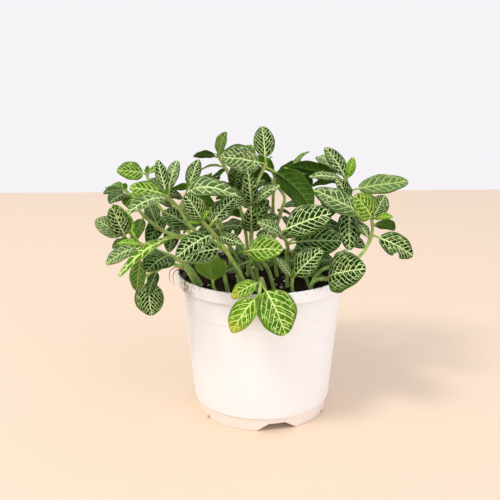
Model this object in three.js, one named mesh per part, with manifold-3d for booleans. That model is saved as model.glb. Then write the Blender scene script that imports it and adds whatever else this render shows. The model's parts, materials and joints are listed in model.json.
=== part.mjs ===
// A nerve plant (Fittonia) growing in a white 10.5 cm nursery pot.
// Millimetres, +Z up. The origin lies on the pot's axis, on the surface that the pot stands on.
// The photographed side faces -Y, with +X to its right.
import * as THREE from "three";
import { mergeVertices } from "three/addons/utils/BufferGeometryUtils.js";
import Module from "manifold-3d";

// ---- Pot ----------------------------------------------------------------------------------
const RIM_RADIUS = 52.5;
const POT_HEIGHT = 90;
const LIP_DEPTH = 7;
const LIP_CHAMFER = 0.6;
const NECK_TOP_RADIUS = 50;
const NECK_DEPTH = 21.5;
const NECK_BOTTOM_RADIUS = 49.2;
const BODY_TOP_RADIUS = 48.6;
const BODY_BOTTOM_RADIUS = 43.2;
const FOOT_HEIGHT = 8.5;
const FOOT_TOP_RADIUS = 42;
const FOOT_RADIUS = 41;
const STEP_SLOPE = 0.5;
const WALL = 1.3;
const FOOT_WALL = 1.8;
const FLOOR_TOP = 7.6;
const FLOOR_BOTTOM = 6.2;
const POT_SIDES = 40;
const DRAIN_COUNT = 6;
const DRAIN_RADIUS = 3.5;
const DRAIN_CIRCLE = 28;
// The foot is notched so that water can run out from under it.
const WIDE_NOTCH = { angle: 12, bottom: 25, top: 10, height: 5 };
const SMALL_NOTCH = { angle: -54, bottom: 3, top: 2.4, height: 2 };
const NOTCHES_ROUND_FOOT = 3;
const NOTCH_DEPTH = 20;

// ---- Soil ---------------------------------------------------------------------------------
const SOIL_TOP = 81;
const SOIL_GAP = 0.3;
const SOIL_SWELL = 0.9;
const SOIL_LUMP = 0.6;
const SOIL_RINGS = [14, 28, 41];
const SOIL_SIDES = 24;

// ---- Stems --------------------------------------------------------------------------------
const ROOT_Z = 71.5;
const STEM_RADIUS = 1.3;
const STEM_TIP_RADIUS = 0.9;
const STEM_SIDES = 4;
const STEM_STEP = 0.5;
const BUD_LENGTH = 1;
const HOLE_GAP = 0.4;
const HOLE_RINGS = 3;

// ---- Leaves -------------------------------------------------------------------------------
const PETIOLE = 0.17;
const PETIOLE_WIDTH = 1.3;
const PETIOLE_THICKNESS = 0.9;
const ROOT_SUNK = 0.6;
const LEAF_THICKNESS = 0.7;
const ARCH = 0.11;
const FOLD = 0.4;
const CURL = 0.28;
const WAVE = 0.07;
const OUTLINE_SHIFT = 0.86;
const OUTLINE_FULLNESS = 0.58;
const BLADE_STATIONS = [0.18, 0.5, 0.82];

// The stems that the photograph shows. root is where a stem leaves the soil. Each shoot passes
// through the points of its path; a side shoot starts on the main shoot at "from".
// A leaf is [place along the path counted in points, tip x, y, z, width over length,
// how far its face turns to the front, height of its arch over its length].
const SEEN_STEMS = [
  {
    name: "stem_01",
    root: [-14, -14],
    shoots: [
      {
        path: [[-15, -20, 96], [-25, -28, 112], [-37, -34, 121], [-45, -38, 135], [-41, -36, 145]],
        leaves: [
          [5, -35, -30, 162, 0.44, 1.2],
          [4.2, -13, -52, 145, 0.39, 0.9, 0.34],
          [4.7, -27, -28, 135, 0.51, -1.4],
          [3, -57, -22, 131, 0.55, 1.3],
        ],
      },
      {
        from: 4,
        path: [[-49, -42, 140], [-52, -44, 144]],
        leaves: [
          [2, -57, -38, 163, 0.33, 1.3],
          [2, -71, -52, 150, 0.46, 1.3],
          [1.1, -69, -72, 140, 0.28, 0.7, 0.14],
          [1.8, -45, -26, 161, 0.29, 0.9],
          [1.7, -62, -34, 152, 0.46, 0.8],
        ],
      },
    ],
  },
  {
    name: "stem_02",
    root: [-22, 16],
    shoots: [
      {
        path: [[-42, 18, 105], [-62, 26, 120], [-71, 32, 132], [-74, 36, 144]],
        leaves: [
          [4, -92, 26, 148, 0.63, 1.7],
          [4, -63, 48, 147, 0.41, 0.9],
          [3, -80, 14, 127, 0.46, 1],
          [2, -71, 0, 108, 0.39, 1.4],
          [3, -52, 44, 127, 0.51, 0.8],
          [1.6, -58, 6, 99, 0.46, 1.1],
          [2.6, -58, 36, 122, 0.46, 0.9],
          [4, -74, 46, 147, 0.37, 0.8],
        ],
      },
    ],
  },
  {
    name: "stem_03",
    root: [-30, 4],
    shoots: [
      {
        path: [[-44, 4, 103], [-64, 6, 115], [-77, 8, 127], [-83, 8, 138]],
        leaves: [
          [4, -96, 0, 138, 0.42, 0.9],
          [4, -94, 18, 140, 0.46, 1, 0.1],
          [3.7, -89, -16, 135, 0.46, 0.9],
          [4, -96, 10, 140, 0.31, 0.8, 0.06],
          [2.6, -78, -8, 109, 0.41, 1.2],
          [2, -72, 22, 127, 0.46, 1],
          [3.9, -77, -12, 129, 0.51, 1.3],
        ],
      },
    ],
  },
  {
    name: "stem_04",
    root: [-32, -6],
    shoots: [
      {
        path: [[-45, -10, 95], [-61, -20, 107], [-78, -28, 116]],
        leaves: [
          [3, -84, -36, 137, 0.57, 1.6],
          [3, -96, -25, 127, 0.57, 1.2],
          [2.8, -84, -40, 114, 0.46, 0.8],
          [2.6, -84, -6, 133, 0.28, 0.9],
        ],
      },
    ],
  },
  {
    name: "stem_05",
    root: [-18, -26],
    shoots: [
      {
        path: [[-24, -34, 103], [-35, -44, 119], [-46, -50, 123], [-57, -52, 121], [-65, -54, 119]],
        leaves: [
          [5, -84, -60, 110, 0.42, 1],
          [3, -75, -74, 107, 0.18, 0.45, 0.12],
          [5, -79, -50, 119, 0.37, 0.8],
        ],
      },
    ],
  },
  {
    name: "stem_06",
    root: [-34, -14],
    shoots: [
      {
        path: [[-42, -17, 94], [-54, -20, 103], [-64, -24, 108], [-70, -26, 107]],
        leaves: [
          [2, -72, -46, 103, 0.55, 1.3],
          [4, -74, -26, 84, 0.42, 1.8],
        ],
      },
    ],
  },
  {
    name: "stem_07",
    root: [-36, -22],
    shoots: [
      {
        path: [[-43, -25, 95], [-52, -29, 101], [-60, -32, 99], [-66, -34, 96]],
        leaves: [
          [3, -64, -48, 88, 0.33, 1.5],
          [4, -64, -38, 73, 0.72, 1],
        ],
      },
    ],
  },
  {
    name: "stem_08",
    root: [-4, -30],
    shoots: [
      {
        path: [[-12, -36, 96], [-18, -43, 109], [-25, -50, 122], [-32, -55, 132]],
        leaves: [
          [4, -37, -60, 151, 0.64, 1.5],
          [4, -28, -62, 139, 0.46, 1.2],
          [3.6, -15, -42, 142, 0.48, 1.5],
          [3, -11, -62, 121, 0.42, 1.2],
          [3.2, -45, -72, 117, 0.42, 1.3],
          [2.4, -45, -60, 113, 0.48, 1.5],
          [4, -39, -60, 133, 0.46, 1.2],
        ],
      },
    ],
  },
  {
    name: "stem_09",
    root: [0, -8],
    shoots: [
      {
        path: [[-4, -10, 97], [-6, -11, 114], [-6, -10, 131], [-3, -6, 143], [3, 0, 155]],
        leaves: [
          [5, -24, -14, 161, 0.61, 1.6, 0.06],
          [5, 1, 8, 177, 0.55, 1.2],
          [4.9, 30, -16, 129, 0.48, -1.7, 0.16],
          [4.9, -11, 6, 146, 0.57, -1.6],
          [3, -8, -24, 155, 0.33, 1.3],
          [3, -17, -20, 141, 0.53, 1.4],
          [2.1, 4, -18, 137, 0.39, 1.4],
          [3, 6, -28, 146, 0.31, 1.2],
          [2.1, -6, -34, 136, 0.39, 1.4],
        ],
      },
    ],
  },
  {
    name: "stem_10",
    root: [-8, 12],
    shoots: [
      {
        path: [[-9, 16, 104], [-13, 20, 125], [-18, 24, 141], [-26, 26, 156]],
        leaves: [
          [4, -21, 18, 173, 0.48, 0.8],
          [4, -42, 18, 158, 0.39, -1.5],
          [3.6, -38, 30, 148, 0.31, 0.2],
          [3.2, -4, 40, 162, 0.46, 0.8],
          [2.4, -32, 4, 141, 0.46, 0.9],
          [2.4, 3, 34, 140, 0.46, 0.9],
          [2.6, -13, 12, 156, 0.48, 1.2],
          [1.5, -16, 20, 106, 0.46, 1],
        ],
      },
    ],
  },
  {
    name: "stem_11",
    root: [12, 10],
    shoots: [
      {
        path: [[8, 10, 102], [12, 12, 121], [15, 12, 132], [11, 12, 139]],
        leaves: [
          [4, 2, 6, 141, 0.37, 0.8],
          [4, 18, 22, 145, 0.37, 0.8],
          [2, 1, 2, 119, 0.46, 1.2],
          [2, 19, 16, 113, 0.46, 1],
          [1.4, -3, 8, 109, 0.46, 1],
        ],
      },
    ],
  },
  {
    name: "stem_12",
    root: [22, 18],
    shoots: [
      {
        path: [[25, 24, 102], [30, 30, 122], [26, 34, 136], [20, 36, 145]],
        leaves: [
          [4, 33, 48, 157, 0.24, 0],
          [2.3, 27, 16, 147, 0.46, -1],
          [2, 40, 30, 120, 0.37, 0.8],
          [2, 16, 48, 120, 0.46, 0.7],
        ],
      },
    ],
  },
  {
    name: "stem_13",
    root: [26, 6],
    shoots: [
      {
        path: [[34, 8, 94], [48, 14, 109], [56, 18, 126], [55, 22, 141]],
        leaves: [
          [4, 41, 26, 162, 0.42, 1.2],
          [3.9, 31, 12, 149, 0.33, 0.6],
          [4, 59, 24, 156, 0.42, 1.7],
          [3.6, 95, 24, 140, 0.37, 1.1, 0.03],
          [3.7, 19, 32, 149, 0.39, -1.2],
          [3.9, 36, 36, 136, 0.39, -0.8],
          [3, 46, 6, 145, 0.46, 1.3],
          [4, 39, 52, 153, 0.41, 0.6],
          [3, 54, -4, 102, 0.46, 1.5],
          [1.9, 66, 8, 101, 0.46, 1.1],
        ],
      },
    ],
  },
  {
    name: "stem_14",
    root: [26, -20],
    shoots: [
      {
        path: [[34, -20, 93], [53, -16, 98], [62, -12, 104], [67, -8, 114], [67, -6, 122]],
        leaves: [
          [5, 32, 2, 139, 0.39, 1.3, 0.03],
          [5, 54, -18, 139, 0.69, 2.2],
          [5, 75, -2, 136, 0.69, 1.8],
          [5, 78, -14, 125, 0.42, 0.9],
          [4.6, 83, 4, 113, 0.6, -1],
          [3.9, 92, -10, 100, 0.53, 1.6],
          [3.6, 59, 0, 119, 0.46, 1],
        ],
      },
    ],
  },
  {
    name: "stem_15",
    root: [16, -12],
    shoots: [
      {
        path: [[15, -16, 98], [15, -22, 111], [10, -28, 119]],
        leaves: [
          [3, 39, -36, 132, 0.57, 1.6],
          [2.6, -3, -40, 128, 0.41, 1.2],
          [2, 46, -28, 114, 0.68, 1.5],
          [2, 31, -4, 116, 0.46, 1],
          [1.5, 35, -24, 101, 0.46, 1.1],
        ],
      },
    ],
  },
  {
    name: "stem_16",
    root: [10, -24],
    shoots: [
      {
        path: [[4, -28, 96], [-2, -36, 105], [-10, -42, 112]],
        leaves: [
          [3, 11, -54, 116, 0.63, 1.7],
          [2.4, 3, -46, 124, 0.39, 1.2],
          [2.4, 0, -46, 102, 0.46, 1.2],
        ],
      },
    ],
  },
  {
    name: "stem_17",
    root: [21, -38],
    shoots: [
      {
        path: [[17, -39, 89], [17, -40, 95]],
        leaves: [
          [2, 33, -46, 114, 0.57, 1.4],
          [2, 8, -38, 107, 0.39, 1],
        ],
      },
    ],
  },
  {
    name: "stem_18",
    root: [28, -30],
    shoots: [
      {
        path: [[29, -32, 90], [40, -32, 93], [45, -30, 95]],
        leaves: [
          [2, 43, -34, 113, 0.46, 1.5],
          [1.7, 59, -52, 105, 0.74, 1.6],
        ],
      },
    ],
  },
  {
    name: "stem_19",
    root: [6, -36],
    shoots: [
      {
        path: [[0, -43, 95], [-1, -54, 97], [-2, -60, 93]],
        leaves: [
          [2, 12, -65, 71, 0.74, 0.6],
          [3, -17, -68, 74, 0.55, 0.9],
          [1.8, -17, -58, 90, 0.57, 0.8],
        ],
      },
    ],
  },
  {
    name: "stem_20",
    root: [-22, -34],
    shoots: [
      {
        path: [[-27, -37, 87], [-28, -38, 90]],
        leaves: [
          [2, -30, -50, 112, 0.78, -0.2],
        ],
      },
    ],
  },
  {
    name: "stem_21",
    root: [15, 3],
    shoots: [
      {
        path: [[18, 0, 94], [25, 2, 108], [32, 4, 117]],
        leaves: [
          [3, 50, 14, 112, 0.46, 1],
          [3, 50, 22, 126, 0.41, 0.9],
          [2.3, 34, -12, 105, 0.46, 1.1],
          [2.3, 14, 14, 112, 0.46, 0.8],
          [3, 37, -2, 130, 0.37, 0.9],
        ],
      },
    ],
  },
  {
    name: "stem_22",
    root: [-12, 0],
    shoots: [
      {
        path: [[-14, 0, 94], [-23, 0, 110], [-29, 2, 121]],
        leaves: [
          [3, -47, 8, 122, 0.46, 0.9],
          [3, -14, 8, 129, 0.46, 0.9],
          [2.4, -38, -16, 115, 0.46, 1],
          [2.4, -8, -12, 120, 0.46, 1],
          [3, -26, 14, 132, 0.39, 1],
        ],
      },
    ],
  },
  {
    name: "stem_23",
    root: [0, -20],
    shoots: [
      {
        path: [[-6, -22, 94], [-8, -24, 101]],
        leaves: [
          [2, -21, -28, 96, 0.55, 1.4],
          [2, 8, -14, 98, 0.55, 1.4],
          [2, -15, -20, 110, 0.46, 1.3],
        ],
      },
    ],
  },
  {
    name: "stem_24",
    root: [32, -12],
    shoots: [
      {
        path: [[26, -12, 92], [27, -12, 97]],
        leaves: [
          [2, 14, -2, 95, 0.51, 1.4],
          [2, 44, -14, 98, 0.55, 1.4],
          [2, 24, -12, 111, 0.46, 1.3],
          [1, 36, -18, 88, 0.55, 1.5],
        ],
      },
    ],
  },
];

// The stems behind them grow by a rule: crowns at alternating reach and height, leaves in
// opposite pairs, each pair square to the last and smaller towards the tip.
const BACK_SEED = 11;
const BACK_COUNT = 6;
const BACK_FIRST_ANGLE = 33;
const BACK_ANGLE_STEP = 21;
const BACK_ROOT_RADIUS = 39;
const BACK_REACHES = [53, 62, 49];
const BACK_HEIGHTS = [126, 108, 136];
const BACK_PAIRS = [
  { at: 1.55, length: 29 },
  { at: 2.15, length: 27 },
  { at: 2.65, length: 24 },
  { at: 3.0, length: 20 },
];
const BACK_LEAF_WIDTH = 0.5;
const BACK_ANGLE_SCATTER = 8;
const BACK_REACH_SCATTER = 6;
const BACK_HEIGHT_SCATTER = 8;
// A stem rises steeply over the rim, passes this share of the way out and up, then flattens.
const BACK_RIM_HEIGHT = 97;
const BACK_BEND = { out: 0.55, up: 0.62, extra: 4 };
// Each pair is turned a quarter round from the last, give or take, and leans along the stem.
const PAIR_TURN = 90;
const PAIR_FIRST_TURN = 20;
const PAIR_TURN_SCATTER = 40;
const LEAN_ALONG_STEM = 0.55;
const LEAF_SAG = 0.12;

// A leaf that would come too near another one is swung about its base by the first of these
// turns (degrees sideways, degrees up) that clears it. One that no turn clears isn't grown.
const TURNS = [
  [0, 0], [8, 0], [-8, 0], [0, 8], [0, -8], [16, 0], [-16, 0], [0, 16], [0, -16],
  [16, 16], [-16, 16], [16, -16], [-16, -16], [28, 0], [-28, 0], [0, 28], [0, -28],
];
const LEAF_CLEARANCE = 2.5;
const STEM_CLEARANCE = 2.9;
const POT_CLEARANCE = 1.2;
const SOIL_CLEARANCE = 2.4;
// Clearances are measured between sample points. Leaves of one stem may touch near that stem.
const SAMPLE_ROWS = 11;
const SAMPLES_EACH_SIDE = 3;
const FIRST_SAMPLE = 0.05;
const LAST_SAMPLE = 0.97;
const PETIOLE_SAMPLES = [0.5, 0.75, 1];
const NEAR_STEM = 0.35;
const STEM_PIECE = 0.5;
const STEM_PIECE_SAMPLES = [-0.25, -0.125, 0, 0.125, 0.25];

const degrees = Math.PI / 180;

function vector(numbers) {
  return new THREE.Vector3(numbers[0], numbers[1], numbers[2]);
}

// A small repeatable random source: each call gives a number from 0 to 1.
function randomSource(seed) {
  let state = seed;
  return () => {
    state = (state * 16807) % 2147483647;
    return state / 2147483647;
  };
}

// ---- Curves and leaves --------------------------------------------------------------------

// A point on the smooth curve through the points, with "at" counted in points.
function pointOnPath(points, at) {
  const curve = new THREE.CatmullRomCurve3(points, false, "catmullrom", 0.5);
  return curve.getPoint(at / (points.length - 1));
}

// The same place on the drawn stem, which is straight from ring to ring.
function pointOnStem(points, at) {
  const before = Math.floor(at / STEM_STEP) * STEM_STEP;
  const after = Math.min(before + STEM_STEP, points.length - 1);
  const share = (at - before) / STEM_STEP;
  return pointOnPath(points, before).lerp(pointOnPath(points, after), share);
}

class Leaf {
  constructor(base, tip, width, front, arch, faces, order) {
    this.base = base;
    this.width = width;
    this.arch = arch;
    this.order = order;
    this.along = tip.clone().sub(base);
    this.length = this.along.length();
    this.along.divideScalar(this.length);
    const skyward = new THREE.Vector3(faces[0] * front, faces[1] * front, 1);
    this.up = skyward.addScaledVector(this.along, -this.along.dot(skyward)).normalize();
    this.side = this.along.clone().cross(this.up);
  }

  // The midrib: w runs from 0 at the stem to 1 at the tip.
  midrib(w) {
    const rise = this.length * this.arch * 4 * w * (1 - w);
    return this.base.clone().addScaledVector(this.along, this.length * w).addScaledVector(this.up, rise);
  }

  // The normal of the leaf where w is the place on the midrib.
  normal(w) {
    const tangent = this.along.clone().addScaledVector(this.up, this.arch * 4 * (1 - 2 * w)).normalize();
    return this.up.clone().addScaledVector(tangent, -this.up.dot(tangent)).normalize();
  }

  halfWidth(u) {
    if (u <= 0 || u >= 1) {
      return 0;
    }
    const fullness = Math.sin(Math.PI * u ** OUTLINE_SHIFT) ** OUTLINE_FULLNESS;
    return 0.5 * this.width * this.length * fullness;
  }

  // A point of the blade: u runs along it from 0 to 1, v across it from -1 to 1.
  // The halves rise from the midrib, curl over towards the edge, and the edge is waved.
  point(u, v, lift = 0) {
    const w = PETIOLE + (1 - PETIOLE) * u;
    const half = this.halfWidth(u);
    const phase = v > 0 ? 1.9 : 0;
    const wave = WAVE * Math.sin(2 * Math.PI * (2.2 * u + 0.37 * this.order) + phase) * v * v;
    const rise = half * (FOLD * Math.abs(v) - CURL * v * v + wave);
    return this.midrib(w).addScaledVector(this.side, half * v).addScaledVector(this.normal(w), rise + lift);
  }

  // Points spread over the leaf, to measure clearances with.
  samples() {
    const points = [];
    for (let row = 0; row < SAMPLE_ROWS; row += 1) {
      const u = FIRST_SAMPLE + (LAST_SAMPLE - FIRST_SAMPLE) * (row / (SAMPLE_ROWS - 1));
      for (let column = -SAMPLES_EACH_SIDE; column <= SAMPLES_EACH_SIDE; column += 1) {
        const place = this.point(u, column / SAMPLES_EACH_SIDE);
        points.push({ place, near: u < NEAR_STEM });
      }
    }
    for (const share of PETIOLE_SAMPLES) {
      points.push({ place: this.midrib(share * PETIOLE), near: true });
    }
    return points;
  }
}

// ---- The plan of the whole plant ----------------------------------------------------------

// One of the stems at the back, in the same form as SEEN_STEMS.
function growBackStem(index, random) {
  const scatter = (size) => size * (random() - 0.5);
  const angle = (BACK_FIRST_ANGLE + BACK_ANGLE_STEP * index + scatter(BACK_ANGLE_SCATTER)) * degrees;
  const outward = [Math.cos(angle), Math.sin(angle)];
  const reach = BACK_REACHES[index % 3] + scatter(BACK_REACH_SCATTER);
  const height = BACK_HEIGHTS[index % 3] + scatter(BACK_HEIGHT_SCATTER);
  const at = (radius, z) => [outward[0] * radius, outward[1] * radius, z];
  const bendRadius = BACK_ROOT_RADIUS + BACK_BEND.out * (reach - BACK_ROOT_RADIUS);
  const bendHeight = BACK_RIM_HEIGHT + BACK_BEND.up * (height - BACK_RIM_HEIGHT) + BACK_BEND.extra;
  const path = [
    at(BACK_ROOT_RADIUS + BACK_BEND.extra, BACK_RIM_HEIGHT),
    at(bendRadius, bendHeight),
    at(reach, height),
  ];
  const root = at(BACK_ROOT_RADIUS, ROOT_Z).slice(0, 2);
  const points = [vector([...root, ROOT_Z]), ...path.map(vector)];
  const leaves = [];
  BACK_PAIRS.forEach((pair, step) => {
    const base = pointOnPath(points, pair.at);
    const direction = base.clone().sub(pointOnPath(points, pair.at - 0.1)).normalize();
    const across = direction.clone().cross(vector([0, 0, 1])).normalize();
    const other = across.clone().cross(direction);
    const turn = (PAIR_FIRST_TURN + PAIR_TURN * step + scatter(PAIR_TURN_SCATTER)) * degrees;
    for (const side of [1, -1]) {
      const length = pair.length * (0.9 + 0.2 * random());
      const spread = across.clone().multiplyScalar(Math.cos(turn) * side);
      spread.addScaledVector(other, Math.sin(turn) * side);
      spread.addScaledVector(direction, LEAN_ALONG_STEM);
      spread.z -= LEAF_SAG;
      const tip = base.clone().addScaledVector(spread.normalize(), length);
      leaves.push([pair.at, tip.x, tip.y, tip.z, BACK_LEAF_WIDTH, 0.5 + 0.5 * random()]);
    }
  });
  const name = `stem_${String(SEEN_STEMS.length + index + 1).padStart(2, "0")}`;
  return { name, root, faces: outward, shoots: [{ path, leaves }] };
}

// Whether a point is above the soil or outside the pot, with room to spare.
function clearOfPot(place) {
  const radius = Math.hypot(place.x, place.y);
  if (place.z > POT_HEIGHT + POT_CLEARANCE) {
    return true;
  }
  if (radius < NECK_TOP_RADIUS - WALL - POT_CLEARANCE) {
    return place.z > SOIL_TOP + SOIL_CLEARANCE;
  }
  return radius > RIM_RADIUS + POT_CLEARANCE;
}

// The ball round a set of sample points.
function bounding(points) {
  const centre = new THREE.Vector3();
  for (const point of points) {
    centre.addScaledVector(point.place, 1 / points.length);
  }
  let radius = 0;
  for (const point of points) {
    radius = Math.max(radius, point.place.distanceTo(centre));
  }
  return { centre, radius };
}

// Whether a leaf's sample points keep clear of everything placed before it.
function clearOfOthers(sphere, points, stemIndex, placed) {
  for (const other of placed) {
    const room = sphere.radius + other.radius + other.clearance;
    if (sphere.centre.distanceToSquared(other.centre) > room * room) {
      continue;
    }
    const own = other.stemIndex === stemIndex;
    const limit = other.clearance * other.clearance;
    for (const point of points) {
      if (own && point.near) {
        continue;
      }
      for (const otherPoint of other.points) {
        if (own && otherPoint.near) {
          continue;
        }
        if (point.place.distanceToSquared(otherPoint.place) < limit) {
          return false;
        }
      }
    }
  }
  return true;
}

// Swings a leaf's tip about its base by degrees sideways and up.
function swing(base, tip, turn) {
  const reach = tip.clone().sub(base);
  const flat = Math.hypot(reach.x, reach.y);
  const heading = Math.atan2(reach.y, reach.x) + turn[0] * degrees;
  const rise = Math.atan2(reach.z, flat) + turn[1] * degrees;
  const length = reach.length();
  const level = length * Math.cos(rise);
  return new THREE.Vector3(
    base.x + level * Math.cos(heading),
    base.y + level * Math.sin(heading),
    base.z + length * Math.sin(rise),
  );
}

// Places every shoot first and then every leaf, in order, each swung clear of those before it.
function planPlant() {
  const random = randomSource(BACK_SEED);
  const plans = [...SEEN_STEMS];
  for (let index = 0; index < BACK_COUNT; index += 1) {
    plans.push(growBackStem(index, random));
  }
  const placed = [];
  const stems = plans.map((plan, stemIndex) => {
    const shoots = [];
    for (const shoot of plan.shoots) {
      const start = shoot.from === undefined
        ? vector([...plan.root, ROOT_Z])
        : pointOnStem(shoots[0].points, shoot.from);
      const points = [start, ...shoot.path.map(vector)];
      shoots.push({ points, leaves: [], rows: shoot.leaves });
      for (let at = STEM_PIECE / 2; at < points.length - 1; at += STEM_PIECE) {
        const piece = STEM_PIECE_SAMPLES.map((step) => (
          { place: pointOnPath(points, at + step), near: false }
        ));
        placed.push({ ...bounding(piece), points: piece, clearance: STEM_CLEARANCE, stemIndex });
      }
    }
    return { name: plan.name, faces: plan.faces ?? [0, -1], shoots };
  });
  let order = 0;
  stems.forEach((stem, stemIndex) => {
    for (const shoot of stem.shoots) {
      for (const [at, x, y, z, width, front, arch = ARCH] of shoot.rows) {
        const base = pointOnStem(shoot.points, at);
        for (const turn of TURNS) {
          const tip = swing(base, vector([x, y, z]), turn);
          const leaf = new Leaf(base, tip, width, front, arch, stem.faces, order);
          const points = leaf.samples();
          const sphere = bounding(points);
          const clear = points.every((point) => point.near || clearOfPot(point.place));
          if (clear && clearOfOthers(sphere, points, stemIndex, placed)) {
            shoot.leaves.push(leaf);
            placed.push({ ...sphere, points, clearance: LEAF_CLEARANCE, stemIndex });
            break;
          }
        }
        order += 1;
      }
    }
  });
  return stems;
}

// ---- Closed meshes ------------------------------------------------------------------------

// A closed surface from rings of points that all have the same count, capped at both ends.
function skin(rings) {
  const count = rings[0].length;
  const positions = [];
  const faces = [];
  for (const ring of rings) {
    for (const point of ring) {
      positions.push(point.x, point.y, point.z);
    }
  }
  for (let r = 0; r + 1 < rings.length; r += 1) {
    for (let i = 0; i < count; i += 1) {
      const here = r * count + i;
      const next = r * count + ((i + 1) % count);
      faces.push(here, next, next + count, here, next + count, here + count);
    }
  }
  const last = (rings.length - 1) * count;
  for (let i = 1; i + 1 < count; i += 1) {
    faces.push(0, i + 1, i, last, last + i, last + i + 1);
  }
  const geometry = new THREE.BufferGeometry();
  geometry.setAttribute("position", new THREE.Float32BufferAttribute(positions, 3));
  geometry.setIndex(faces);
  return geometry;
}

// A closed tube along the points, turned as little as possible from ring to ring.
function tube(points, radii, sides) {
  const rings = [];
  let across = new THREE.Vector3(1, 0, 0);
  points.forEach((point, index) => {
    const before = points[Math.max(index - 1, 0)];
    const after = points[Math.min(index + 1, points.length - 1)];
    const tangent = after.clone().sub(before).normalize();
    across = across.clone().addScaledVector(tangent, -across.dot(tangent)).normalize();
    const other = tangent.clone().cross(across);
    const ring = [];
    for (let i = 0; i < sides; i += 1) {
      const angle = (2 * Math.PI * i) / sides;
      const spoke = across.clone().multiplyScalar(Math.cos(angle)).addScaledVector(other, Math.sin(angle));
      ring.push(point.clone().addScaledVector(spoke, radii[index]));
    }
    rings.push(ring);
  });
  return skin(rings);
}

// The rings of a shoot: their places and radii.
function shootRings(points, extraRadius = 0) {
  const places = [];
  const radii = [];
  const end = points.length - 1;
  for (let at = 0; at <= end; at += STEM_STEP) {
    places.push(pointOnPath(points, at));
    radii.push(STEM_RADIUS + (STEM_TIP_RADIUS - STEM_RADIUS) * (at / end) + extraRadius);
  }
  const last = places.length - 1;
  const forward = places[last].clone().sub(places[last - 1]).normalize();
  places[last].addScaledVector(forward, BUD_LENGTH);
  return { places, radii };
}

// A leaf as one thin closed solid, from the foot of its petiole through the blade to its tip.
// Both faces are split into triangles alike.
function leafGeometry(leaf) {
  const half = LEAF_THICKNESS / 2;
  const petioleHalf = PETIOLE_THICKNESS / 2;
  const positions = [];
  const faces = [];
  const push = (point) => positions.push(point.x, point.y, point.z);
  const foot = ROOT_SUNK / leaf.length;
  for (const level of [petioleHalf, -petioleHalf]) {
    for (const v of [-1, 0, 1]) {
      const shift = (PETIOLE_WIDTH / 2) * v;
      push(leaf.midrib(foot).addScaledVector(leaf.side, shift).addScaledVector(leaf.normal(foot), level));
    }
  }
  for (const u of BLADE_STATIONS) {
    for (const level of [half, -half]) {
      for (const v of [-1, 0, 1]) {
        push(leaf.point(u, v, level));
      }
    }
  }
  const stations = 1 + BLADE_STATIONS.length;
  for (let s = 0; s + 1 < stations; s += 1) {
    const a = 6 * s;
    const b = a + 6;
    for (const i of [0, 1]) {
      faces.push(a + i, a + i + 1, b + i, a + i + 1, b + i + 1, b + i);
      faces.push(a + 3 + i, b + 3 + i, a + 4 + i, a + 4 + i, b + 3 + i, b + 4 + i);
    }
    faces.push(a, b, a + 3, b, b + 3, a + 3);
    faces.push(a + 2, a + 5, b + 2, b + 2, a + 5, b + 5);
  }
  faces.push(0, 3, 1, 1, 3, 4, 1, 4, 2, 2, 4, 5);
  const end = 6 * (stations - 1);
  const tipTop = 6 * stations;
  push(leaf.point(1, 0, half));
  push(leaf.point(1, 0, -half));
  faces.push(end, end + 1, tipTop, end + 1, end + 2, tipTop);
  faces.push(end + 4, end + 3, tipTop + 1, end + 5, end + 4, tipTop + 1);
  faces.push(end, tipTop, end + 3, end + 3, tipTop, tipTop + 1);
  faces.push(end + 2, end + 5, tipTop, end + 5, tipTop + 1, tipTop);
  const geometry = new THREE.BufferGeometry();
  geometry.setAttribute("position", new THREE.Float32BufferAttribute(positions, 3));
  geometry.setIndex(faces);
  return geometry;
}

// ---- Joining and cutting ------------------------------------------------------------------

const wasm = await Module();
wasm.setup();

function toSolid(geometry) {
  const bare = geometry.clone();
  bare.deleteAttribute("normal");
  bare.deleteAttribute("uv");
  const merged = mergeVertices(bare, 1e-4);
  return new wasm.Manifold(new wasm.Mesh({
    numProp: 3,
    vertProperties: new Float32Array(merged.attributes.position.array),
    triVerts: new Uint32Array(merged.index.array),
  }));
}

function toGeometry(solid) {
  const mesh = solid.getMesh();
  const geometry = new THREE.BufferGeometry();
  geometry.setAttribute("position", new THREE.Float32BufferAttribute(mesh.vertProperties, 3));
  geometry.setIndex(Array.from(mesh.triVerts));
  geometry.computeVertexNormals();
  return geometry;
}

// Turns a shape revolved about Y into one that stands on Z.
function standing(geometry) {
  return geometry.rotateX(Math.PI / 2);
}

// ---- Pot ----------------------------------------------------------------------------------

// The pot's inner wall from the floor up, as [radius, height].
const INNER_WALL = [
  [FOOT_TOP_RADIUS - WALL, FLOOR_TOP],
  [BODY_BOTTOM_RADIUS - WALL, FOOT_HEIGHT + 2 * STEP_SLOPE],
  [BODY_TOP_RADIUS - WALL, POT_HEIGHT - NECK_DEPTH - 2 * STEP_SLOPE],
  [NECK_BOTTOM_RADIUS - WALL, POT_HEIGHT - NECK_DEPTH],
  [NECK_TOP_RADIUS - WALL, POT_HEIGHT - LIP_DEPTH - WALL],
];

// A notch's trapezoid, pushed through the foot in the direction of its angle from the front.
function notchSolid(notch, angle) {
  const shape = new THREE.Shape([
    new THREE.Vector2(-notch.bottom / 2, -1),
    new THREE.Vector2(notch.bottom / 2, -1),
    new THREE.Vector2(notch.bottom / 2, 0),
    new THREE.Vector2(notch.top / 2, notch.height),
    new THREE.Vector2(-notch.top / 2, notch.height),
    new THREE.Vector2(-notch.bottom / 2, 0),
  ]);
  const geometry = new THREE.ExtrudeGeometry(shape, { depth: NOTCH_DEPTH, bevelEnabled: false });
  geometry.translate(0, 0, FOOT_TOP_RADIUS + 2 - NOTCH_DEPTH);
  standing(geometry);
  geometry.rotateZ(angle * degrees);
  return toSolid(geometry);
}

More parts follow.
